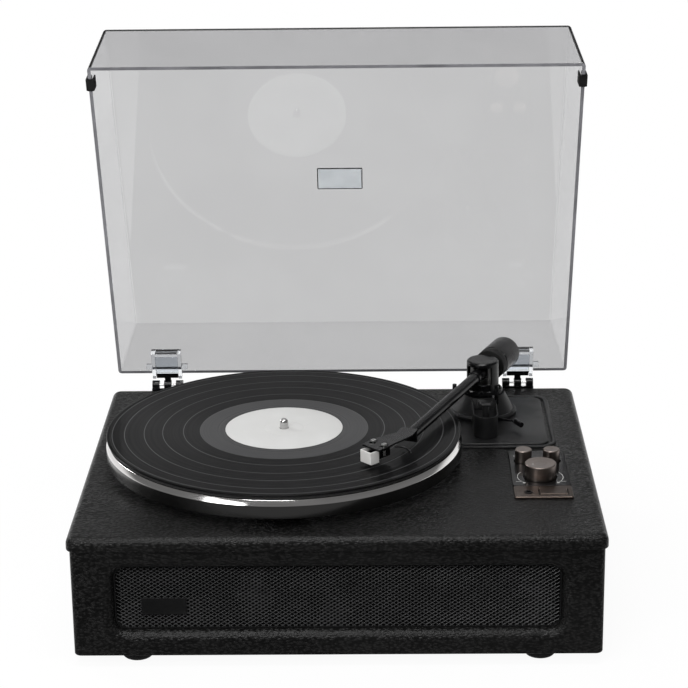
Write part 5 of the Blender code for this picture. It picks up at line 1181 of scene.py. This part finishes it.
TURNED_LINES = turned_lines_group()
BRUSHED_LINES = brushed_lines_group()

# %% Record grooves
GAP_SHARE = 0.55
RUN_OUT_EDGE = 0.0006


def groove_group():
    """Tracks of different loudness: rings of tone that follow the radius, the plain gaps between
    them, and the run-out next to the label; the vinyl paints sheen on the gaps and the run-out."""
    tree, where, rings = new_group("record_grooves", "Rings", 420.0)
    radius, _ = from_axis(tree, where)
    ring_place = add(tree, "CombineXYZ", {"X": maths(tree, "MULTIPLY", radius, rings)})
    loud = noise(tree, ring_place.outputs[0], 1.0, 3.0)
    gap_sheen = 0.0
    for end in TRACK_ENDS:
        near = maths(tree, "ABSOLUTE", maths(tree, "SUBTRACT", radius, end))
        gap_sheen = maths(tree, "MAXIMUM", gap_sheen, remap(tree, near, TRACK_GAP * GAP_SHARE, 0.0))
    run_out_sheen = remap(tree, radius, TRACK_ENDS[-1], TRACK_ENDS[-1] - RUN_OUT_EDGE)
    return put_out(tree, Height=loud, Loudness=remap(tree, loud, *BROAD_TONE), Gap=gap_sheen, Run_out=run_out_sheen)


GROOVES = groove_group()

# %% [markdown]
# ## Materials
#
# Colours are those of the photograph read as paint: near-black leatherette, a slightly warm bronze,
# an off-white label. Each material sets its plain values first and then adds its detail.

# %% A material and its parts
SHADER = "Principled BSDF"


def new_material(name, **plain):
    """A material with plain values in its shader, its nodes and the piece's own coordinates."""
    made = bpy.data.materials.new(name)
    made.use_nodes = True
    for key, value in plain.items():
        made.node_tree.nodes[SHADER].inputs[key.replace("_", " ")].default_value = value
    print("material:", name)
    return made, made.node_tree, add(made.node_tree, "TexCoord").outputs["Object"]


def finish(made, tone, colours, shine, gloss, height=None, relief=0.0):
    """Mix two colours by a mask, spread the roughness over a range by another, and raise a height."""
    tree = made.node_tree
    into = tree.nodes[SHADER].inputs
    dark, light = colours
    mix = add(tree, "Mix", {0: tone, 6: (*dark, 1), 7: (*light, 1)}, data_type="RGBA")
    tree.links.new(mix.outputs[2], into["Base Color"])
    tree.links.new(remap(tree, shine, 0.0, 1.0, *gloss), into["Roughness"])
    if height:
        bump = add(tree, "Bump", {"Height": height, "Distance": relief, "Strength": 1.0})
        tree.links.new(bump.outputs["Normal"], into["Normal"])
    return made


def use(tree, group, vector, **values):
    """Put a node group into a material."""
    made = add(tree, "Group", node_tree=group)
    tree.links.new(vector, made.inputs["Vector"])
    for key, value in values.items():
        made.inputs[key.replace("_", " ")].default_value = value
    return made.outputs


def centred(tree, where, place):
    """The piece's coordinates with the pattern's middle moved to a place."""
    return mapped(tree, where, Location=[-value for value in place])


def scaled(colour, share):
    return tuple(min(1.0, value * share) for value in colour)


def dress(obj, *materials):
    """Give a piece its materials."""
    obj.data.materials.clear()
    for made in materials:
        obj.data.materials.append(made)
    obj.data.polygons.foreach_set("material_index", [0] * len(obj.data.polygons))


# %% Leatherette and rubber
LEATHER_RELIEF = 0.00032
RUBBER_RELIEF = 0.00003
CLOUD_IN_TONE = 0.15
CLOUD_IN_GLOSS = 0.4


def leatherette():
    made, tree, where = new_material("leatherette", Specular_IOR_Level=0.19)
    pebbles = use(tree, PEBBLES, where, Pebble_size=0.0014)
    cloud = use(tree, HANDLING, where, Size=0.09)["Cloud"]
    # The tone is painted highlight and painted shade: light on the pebbles' tops and dark in the creases
    # between them, with a little of the handling cloud.
    painted_crease_shade_and_cloud = blend(tree, pebbles["Height"], cloud, CLOUD_IN_TONE)
    shine = blend(tree, pebbles["Crease"], cloud, CLOUD_IN_GLOSS)
    colours = ((0.0006, 0.0006, 0.0006), (0.0160, 0.0158, 0.0156))
    return finish(made, painted_crease_shade_and_cloud, colours, shine, (0.26, 0.40), pebbles["Height"], LEATHER_RELIEF)


def rubber():
    made, tree, where = new_material("black_rubber", Specular_IOR_Level=0.30)
    cloud = use(tree, HANDLING, where, Size=0.02)["Cloud"]
    grain = use(tree, GRAIN, where, Grain_size=0.0005)
    colours = ((0.004, 0.004, 0.004), (0.009, 0.009, 0.009))
    return finish(made, cloud, colours, cloud, (0.60, 0.78), grain["Height"], RUBBER_RELIEF)


LEATHERETTE = leatherette()
RUBBER = rubber()

# %% Black mouldings and painted metal
LIGHTER = 1.55


def black_moulding(name, colour, gloss, grain_size, relief, specular, coat=0.0):
    """A black plastic or painted piece: its tone, its gloss and its grain."""
    plain = {"Specular_IOR_Level": specular, "Coat_Weight": coat, "Coat_Roughness": 0.08}
    made, tree, where = new_material(name, **plain)
    grain = use(tree, GRAIN, where, Grain_size=grain_size)
    cloud = use(tree, HANDLING, where, Size=0.03)["Cloud"]
    colours = (colour, scaled(colour, LIGHTER))
    return finish(made, grain["Tone"], colours, cloud, gloss, grain["Height"], relief)


SATIN_BOARD = black_moulding("satin_moulding", (0.0060, 0.0060, 0.0063), (0.34, 0.44), 0.0005, 0.000018, 0.30)
SATIN_METAL = black_moulding("satin_metal", (0.0026, 0.0026, 0.0029), (0.18, 0.28), 0.0004, 0.000012, 0.22)
GLOSS_BLACK = black_moulding(
    "gloss_moulding", (0.0032, 0.0032, 0.0035), (0.14, 0.24), 0.0006, 0.000008, 0.20, 0.05
)
BADGE_BLACK = black_moulding("badge_moulding", (0.0030, 0.0030, 0.0032), (0.30, 0.42), 0.0006, 0.000008, 0.25)
GRILLE_BLACK = black_moulding("grille_paint", (0.0220, 0.0220, 0.0227), (0.20, 0.30), 0.0005, 0.000014, 1.0)
SPEAKER_AND_SHADE_BLACK = black_moulding("speaker_cone_and_shade", (0.0012, 0.0012, 0.0012), (0.80, 0.92), 0.0008, 0.00008, 0.03)
SMOKE_EDGE = black_moulding("smoke_edge", (0.150, 0.150, 0.161), (0.22, 0.34), 0.0005, 0.00001, 0.5)

# %% Board, felt, ink and pale plastics


def grained(name, dark, light, gloss, grain_size, relief, tone="Tone", **plain):
    """A finish whose tone, gloss and relief all come from its own grain."""
    made, tree, where = new_material(name, **plain)
    grain = use(tree, GRAIN, where, Grain_size=grain_size)
    return finish(made, grain[tone], (dark, light), grain["Tone"], gloss, grain["Height"], relief)


SHEEN = {"Sheen_Weight": 0.25, "Sheen_Roughness": 0.6, "Specular_IOR_Level": 0.1}
FIBREBOARD = grained(
    "fibreboard", (0.050, 0.036, 0.024), (0.110, 0.084, 0.060), (0.78, 0.92), 0.0009, 0.00010, "Height"
)
FELT = grained(
    "felt", (0.006, 0.006, 0.006), (0.016, 0.016, 0.016), (0.85, 0.98), 0.0006, 0.00012, "Height", **SHEEN
)
INK_WHITE = grained(
    "white_ink", (0.62, 0.62, 0.60), (0.76, 0.76, 0.74), (0.45, 0.60), 0.0002, 0.000006, "Height"
)
WHITE_CAP = grained("white_cap", (0.70, 0.69, 0.67), (0.78, 0.775, 0.76), (0.30, 0.42), 0.0004, 0.00001)
PALE_PLATE = grained(
    "pale_plate", (0.68, 0.72, 0.75), (0.78, 0.82, 0.85), (0.30, 0.42), 0.0006, 0.00001, Coat_Weight=0.3
)

# %% Vinyl and label
VINYL_PLAIN = {
    "Anisotropic": 0.90,
    "Anisotropic_Rotation": 0.25,
    "Specular_IOR_Level": 0.04,
    "Coat_Weight": 0.10,
    "Coat_Roughness": 0.05,
}
RUN_OUT_SHEEN_SHARE = 0.62
GROOVE_RELIEF = 0.000004
PAPER_RELIEF = 0.00002
CLOUD_IN_PAPER = 0.6


def vinyl():
    """Grooves reflect light in a band that points at the lamp, which anisotropy gives; the gaps
    between the tracks and the run-out get a lighter base colour, painted sheen."""
    made, tree, where = new_material("vinyl", **VINYL_PLAIN)
    grooves = use(tree, GROOVES, centred(tree, where, SPINDLE))
    # The gaps between the tracks and the run-out get the light colour: painted sheen on black vinyl.
    run_out_sheen = maths(tree, "MULTIPLY", grooves["Run out"], RUN_OUT_SHEEN_SHARE)
    gap_sheen = maths(tree, "MAXIMUM", grooves["Gap"], run_out_sheen)
    turn = add(tree, "Tangent", direction_type="RADIAL", axis="Z")
    tree.links.new(turn.outputs[0], tree.nodes[SHADER].inputs["Tangent"])
    colours = ((0.0030, 0.0030, 0.0032), (0.085, 0.085, 0.087))
    return finish(made, gap_sheen, colours, grooves["Loudness"], (0.28, 0.36), grooves["Height"], GROOVE_RELIEF)


def label_paper():
    made, tree, where = new_material("label_paper", Specular_IOR_Level=0.35)
    place = centred(tree, where, SPINDLE)
    fibres = use(tree, GRAIN, place, Grain_size=0.0003)["Height"]
    cloud = use(tree, HANDLING, place, Size=0.02)["Cloud"]
    colours = ((0.575, 0.575, 0.566), (0.615, 0.615, 0.606))
    tone = blend(tree, fibres, cloud, CLOUD_IN_PAPER)
    return finish(made, tone, colours, cloud, (0.55, 0.72), fibres, PAPER_RELIEF)


VINYL = vinyl()
LABEL_PAPER = label_paper()

# %% Metals
METAL_RELIEF = 0.000006
SMEAR_SHARE = 0.4


def lined_metal(made, where, lines, smear_size, colour, dark_share, gloss):
    """Metal with a maker's lines: a little change of tone, and soft smears in its gloss."""
    tree = made.node_tree
    smears = use(tree, HANDLING, where, Size=smear_size)["Cloud"]
    shine = blend(tree, lines["Height"], smears, SMEAR_SHARE)
    colours = (scaled(colour, dark_share), colour)
    return finish(made, lines["Tone"], colours, shine, gloss, lines["Height"], METAL_RELIEF)


def turned_metal(name, colour, place, gloss, line=0.00035):
    """Metal from the lathe: lines round its own axis."""
    made, tree, where = new_material(name, Metallic=1.0, Anisotropic=0.4)
    lines = use(tree, TURNED_LINES, centred(tree, where, place), Line=line)
    return lined_metal(made, where, lines, 0.03, colour, 0.82, gloss)


def brushed_metal(name, colour, gloss):
    """Flat metal with straight brushing."""
    made, tree, where = new_material(name, Metallic=1.0)
    lines = use(tree, BRUSHED_LINES, where, Line=0.00025)
    return lined_metal(made, where, lines, 0.02, colour, 0.80, gloss)


STEEL_COLOUR = (0.56, 0.555, 0.55)
BRONZE_COLOUR = (0.270, 0.230, 0.210)
PLATTER_BRIGHT = turned_metal("platter_bevel", (0.78, 0.765, 0.755), SPINDLE, (0.06, 0.16))
# The side is the same turned aluminium as the bevel, with its colour darkened: painted shade.
PLATTER_SIDE_PAINTED_SHADE = turned_metal("platter_side_painted_shade", (0.18, 0.178, 0.176), SPINDLE, (0.16, 0.28), 0.0005)
SPINDLE_STEEL = turned_metal("spindle_steel", STEEL_COLOUR, SPINDLE, (0.16, 0.30))
STEEL = brushed_metal("steel", STEEL_COLOUR, (0.22, 0.40))
BRASS = brushed_metal("brass", (0.62, 0.47, 0.22), (0.24, 0.42))
BRONZE = brushed_metal("bronze_plate", (0.125, 0.099, 0.084), (0.28, 0.42))

# %% [markdown]
# ### Clear plastic
#
# The cover is clear acrylic with a smoky tint. Light passes through it, so its colour is what one
# wall lets through, and a faint film of dust and wiping changes only its gloss. The walls have a
# paler tint than the back, painted light, and the wall by the hinges a darker one, painted shade.
# The hinge pockets are the same plastic without the tint.

# %% Clear plastics and the circuit board
WIPED_TINT = 1.03
TRACK_RELIEF = 0.00004


def clear_plastic(name, colour, gloss=(0.0, 0.035)):
    made, tree, where = new_material(name, Transmission_Weight=1.0, IOR=1.49, Metallic=0.0)
    marks = use(tree, HANDLING, where, Size=0.08)
    return finish(made, marks["Cloud"], (colour, scaled(colour, WIPED_TINT)), marks["Streak"], gloss)


def circuit_board():
    made, tree, where = new_material("circuit_board")
    lines = use(tree, BRUSHED_LINES, where, Line=0.0008)
    colours = ((0.010, 0.060, 0.028), (0.020, 0.110, 0.050))
    return finish(made, lines["Tone"], colours, lines["Height"], (0.35, 0.55), lines["Height"], TRACK_RELIEF)


SMOKE = clear_plastic("smoke_acrylic", (0.582, 0.582, 0.587))
# The walls' paler tint is painted light, and the darker tint of the wall by the hinges is painted shade.
SMOKE_WALL_PAINTED_LIGHT = clear_plastic("smoke_wall_painted_light", (0.710, 0.710, 0.716))
SMOKE_REAR_PAINTED_SHADE = clear_plastic("smoke_rear_painted_shade", (0.490, 0.490, 0.495))
CLEAR = clear_plastic("clear_acrylic", (0.90, 0.92, 0.94), (0.02, 0.10))
CIRCUIT = circuit_board()

# %% Which piece wears what
WEARS = [
    (LEATHERETTE, "top_slab", "cabinet_body"),
    (RUBBER, *FEET, *both("bumper"), "counterweight_ring", "drive_belt"),
    (SATIN_BOARD, "tonearm_board", "board_trim", "tonearm_base", "rest_clip"),
    (SATIN_METAL, "arm_tube", "counterweight", "headshell", "finger_lift", "arm_housing", "jack_socket"),
    (GLOSS_BLACK, "cue_platform", "cue_lever", "cartridge_body", "panel_rear", "rear_panel"),
    (GLOSS_BLACK, *both("hinge_bracket")),
    (BADGE_BLACK, "badge_plate", "grille_rim"),
    (GRILLE_BLACK, "speaker_grille"),
    # The black sheet behind the grille is painted shade; the speakers are black.
    (SPEAKER_AND_SHADE_BLACK, "shade_sheet", *both("speaker")),
    (BRONZE, "panel_front", "push_button"),
    (STEEL, *both("headshell_screw"), *both("hinge_pin"), "motor", "arm_yoke", "cross_pin", "stylus"),
    (BRASS, "platter_bearing", "motor_pulley"),
    (CLEAR, *both("hinge_pocket")),
    (INK_WHITE, "printed_scale", "panel_dot", "knob_dot"),
    (FIBREBOARD, "base_panel"),
    (FELT, "slip_mat"),
    (VINYL, "record"),
    (LABEL_PAPER, "record_label"),
    (SPINDLE_STEEL, "spindle"),
    (WHITE_CAP, "cartridge_cap"),
    (CIRCUIT, "control_board"),
]
for made, *names in WEARS:
    for name in names:
        dress(PIECES[name], made)
for node, joint in KNOB_JOINTS.items():
    dress(PIECES[node], turned_metal("bronze_" + node, BRONZE_COLOUR, AXIS_OF[joint], (0.26, 0.40)))

# %% Pieces with more than one finish
RIM_LEVEL = 0.55
RIM_DEPTH_SHARE = 0.1
REAR_SHARE = 0.25
FRAME_WIDTH = 0.0009


def dress_tray(obj, sheet, wall, rear, edge):
    """One finish for a tray's flat back, one for its walls, one for the wall by the hinges and one
    for the rim round its mouth, the end face of the sheet. The largest face is the back. The rim's
    faces lie nearly level with it, well away from it, and the hinges' wall is in the lowest quarter."""
    dress(obj, sheet, wall, rear, edge)
    faces = obj.data.polygons
    back = max(faces, key=lambda face: face.area)
    level = np.array([abs(face.normal.dot(back.normal)) for face in faces])
    depth = np.array([abs((face.center - back.center).dot(back.normal)) for face in faces])
    rim = (level > RIM_LEVEL) & (depth > RIM_DEPTH_SHARE * depth.max())
    height = np.array([face.center.z for face in faces])
    low = height < height.min() + REAR_SHARE * np.ptp(height)
    wall_slot = np.where(level < RIM_LEVEL, np.where(low, 2, 1), 0)
    faces.foreach_set("material_index", np.where(rim, 3, wall_slot))
    print(obj.name, "rim:", int(rim.sum()), "of", len(faces), "faces")


def framed(obj, inner, border, width):
    """Inset the two large faces of a plate, and give the border and the sides a finish of their own."""
    dress(obj, inner, border)
    with edited(obj.data) as tidy:
        large = sorted(tidy.faces, key=lambda face: face.calc_area())[-2:]
        bmesh.ops.inset_individual(tidy, faces=large, thickness=width)
        for face in tidy.faces:
            face.material_index = 0 if face in large else 1


def dress_by_height(obj, height, lower, upper):
    """One finish below a height of the object and another above it."""
    dress(obj, lower, upper)
    above = [int(face.center.z > height) for face in obj.data.polygons]
    obj.data.polygons.foreach_set("material_index", above)


# The walls get a tint of painted light, and the wall by the hinges a tint of painted shade.
dress_tray(PIECES["dust_cover"], SMOKE, SMOKE_WALL_PAINTED_LIGHT, SMOKE_REAR_PAINTED_SHADE, SMOKE_EDGE)
framed(PIECES["lid_badge"], PALE_PLATE, SATIN_METAL, FRAME_WIDTH)
for node in both("hinge_tongue"):
    dress_by_height(PIECES[node], TONGUE_LINE, GLOSS_BLACK, CLEAR)
BEVEL_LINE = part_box("platter")[1].z - BEVEL_HEIGHT - FINE
dress_by_height(PIECES["platter"], BEVEL_LINE, PLATTER_SIDE_PAINTED_SHADE, PLATTER_BRIGHT)
print("materials:", len(bpy.data.materials))

# %% [markdown]
# ## Floor and light
#
# The photograph is a studio picture on white. The floor is white and catches the soft shadow, and
# further out it is simply the backdrop. The light is plain and soft: a wide lamp in front and another
# above, a weaker one at the left front and one behind at the left, and an even surrounding light.

# %% The floor
FLOOR_STEPS = 64
FLOOR_RINGS = 14
FLOOR_START = 0.1
FLOOR_REACH = 9.0
FLOOR_DROP = 0.0002
ROOM_LIGHT = 0.24
ROOM_MIRRORED = 0.17
ROOM_PLACE = (0.05, -0.30)  # along Y, where a mirrored floor turns from white to the dim room
SHADOW_REACH = (0.24, 0.42)  # from the middle, where the shadow fades out
SHADOW_WHITE = 0.94  # share of the backdrop's white where the shadow lies


def floor_material():
    """White near the object, where it holds the shadow, and the backdrop's own white further out.
    A reflection sees the white beside and behind the object, and the dim room in front of it."""
    made, tree, where = new_material("studio_floor")
    grain = use(tree, GRAIN, where, Grain_size=0.002)["Tone"]
    finish(made, grain, ((0.94, 0.94, 0.94), (0.96, 0.96, 0.96)), grain, (0.80, 0.90))
    path = add(tree, "LightPath").outputs
    mirrored = maths(tree, "SUBTRACT", path["Is Glossy Ray"], path["Is Transmission Ray"])
    ahead = add(tree, "SeparateXYZ", {"Vector": where}).outputs["Y"]
    dim = remap(tree, ahead, *ROOM_PLACE, 0.0, 1.0 - ROOM_MIRRORED)
    strength = maths(tree, "SUBTRACT", 1.0, maths(tree, "MULTIPLY", mirrored, dim))
    glow = add(tree, "Emission", {"Strength": strength, "Color": (1, 1, 1, 1)})
    seen = maths(tree, "MAXIMUM", path["Is Camera Ray"], path["Is Transmission Ray"])
    away = vector_maths(tree, "LENGTH", {0: where}, "Value")
    plain = maths(tree, "MULTIPLY", seen, remap(tree, away, *SHADOW_REACH, SHADOW_WHITE, 1.0))
    share = maths(tree, "MAXIMUM", plain, mirrored)
    painted = tree.nodes[SHADER].outputs[0]
    mixed = add(tree, "MixShader", {0: share, 1: painted, 2: glow.outputs[0]})
    tree.links.new(mixed.outputs[0], tree.nodes["Material Output"].inputs["Surface"])
    return made


def studio_floor():
    """A wide flat disc of rings that grow outward."""
    radius = np.concatenate([[0], np.geomspace(FLOOR_START, FLOOR_REACH, FLOOR_RINGS)])
    mesh = turned(np.stack([radius, 0 * radius], -1), FLOOR_STEPS, (0, 0, 0))
    if mesh.polygons[0].normal.z < 0:
        mesh.flip_normals()
    return mesh


floor = new_object("studio_floor", studio_floor())
floor.location.z = -FLOOR_DROP
dress(floor, floor_material())

# %% Lamps and surroundings
AIM = Vector((0, 0, 0.12))
LAMPS = {  # place, size and watts
    "key_lamp": ((-0.30, -1.50, 1.40), (0.9, 0.30), 13),
    "fill_lamp": ((-1.0, -1.4, 0.70), (0.7, 0.5), 6),
    "top_lamp": ((0.0, -0.55, 1.75), (1.0, 0.35), 14.5),
    "side_lamp": ((-1.6, 0.9, 0.9), (0.5, 0.5), 11),
}
BACKDROP_RISE = (0.06, 0.18)  # of a direction's Z, where the backdrop darkens
BACKDROP_ABOVE = 0.10
BANK_RISE = (0.65, 0.80)  # of a direction's Z, where the ceiling's lamps begin
BEHIND = (-0.10, 0.25)  # of a direction's Y, where the camera's side ends


def soft_lamp(name, place, size, watts):
    """A rectangular soft box that faces the object."""
    data = bpy.data.lights.new(name, "AREA")
    data.shape = "RECTANGLE"
    data.size, data.size_y = size
    data.energy = watts
    lamp = new_object(name, data)
    lamp.location = place
    lamp.rotation_euler = (AIM - Vector(place)).to_track_quat("-Z", "Y").to_euler()


def surroundings():
    """An even light, with the white backdrop where the camera or clear plastic sees it. Reflections see
    the backdrop where it hangs, low behind the object, then its dimmer upper part, the bright bank of
    lamps under the ceiling, and the dim room on the camera's side."""
    world = bpy.data.worlds.new("studio")
    world.use_nodes = True
    tree = world.node_tree
    path = add(tree, "LightPath").outputs
    toward = add(tree, "SeparateXYZ", {"Vector": add(tree, "TexCoord").outputs["Generated"]}).outputs
    backdrop = remap(tree, toward["Z"], *BACKDROP_RISE, 1.0, BACKDROP_ABOVE)
    bright = maths(tree, "MAXIMUM", backdrop, remap(tree, toward["Z"], *BANK_RISE))
    behind = maths(tree, "MULTIPLY", bright, remap(tree, toward["Y"], *BEHIND))
    room = maths(tree, "MAXIMUM", behind, ROOM_MIRRORED)
    mirrored = maths(tree, "MULTIPLY", path["Is Glossy Ray"], room)
    seen = maths(tree, "MAXIMUM", path["Is Camera Ray"], path["Is Transmission Ray"])
    even = maths(tree, "MULTIPLY", maths(tree, "SUBTRACT", 1.0, path["Is Glossy Ray"]), ROOM_LIGHT)
    light = maths(tree, "MAXIMUM", seen, maths(tree, "MAXIMUM", mirrored, even))
    back = tree.nodes["Background"]
    tree.links.new(light, back.inputs["Strength"])
    back.inputs["Color"].default_value = (1, 1, 1, 1)
    bpy.context.scene.world = world


for name, lamp in LAMPS.items():
    soft_lamp(name, *lamp)
surroundings()
bpy.context.scene.view_settings.view_transform = "Standard"
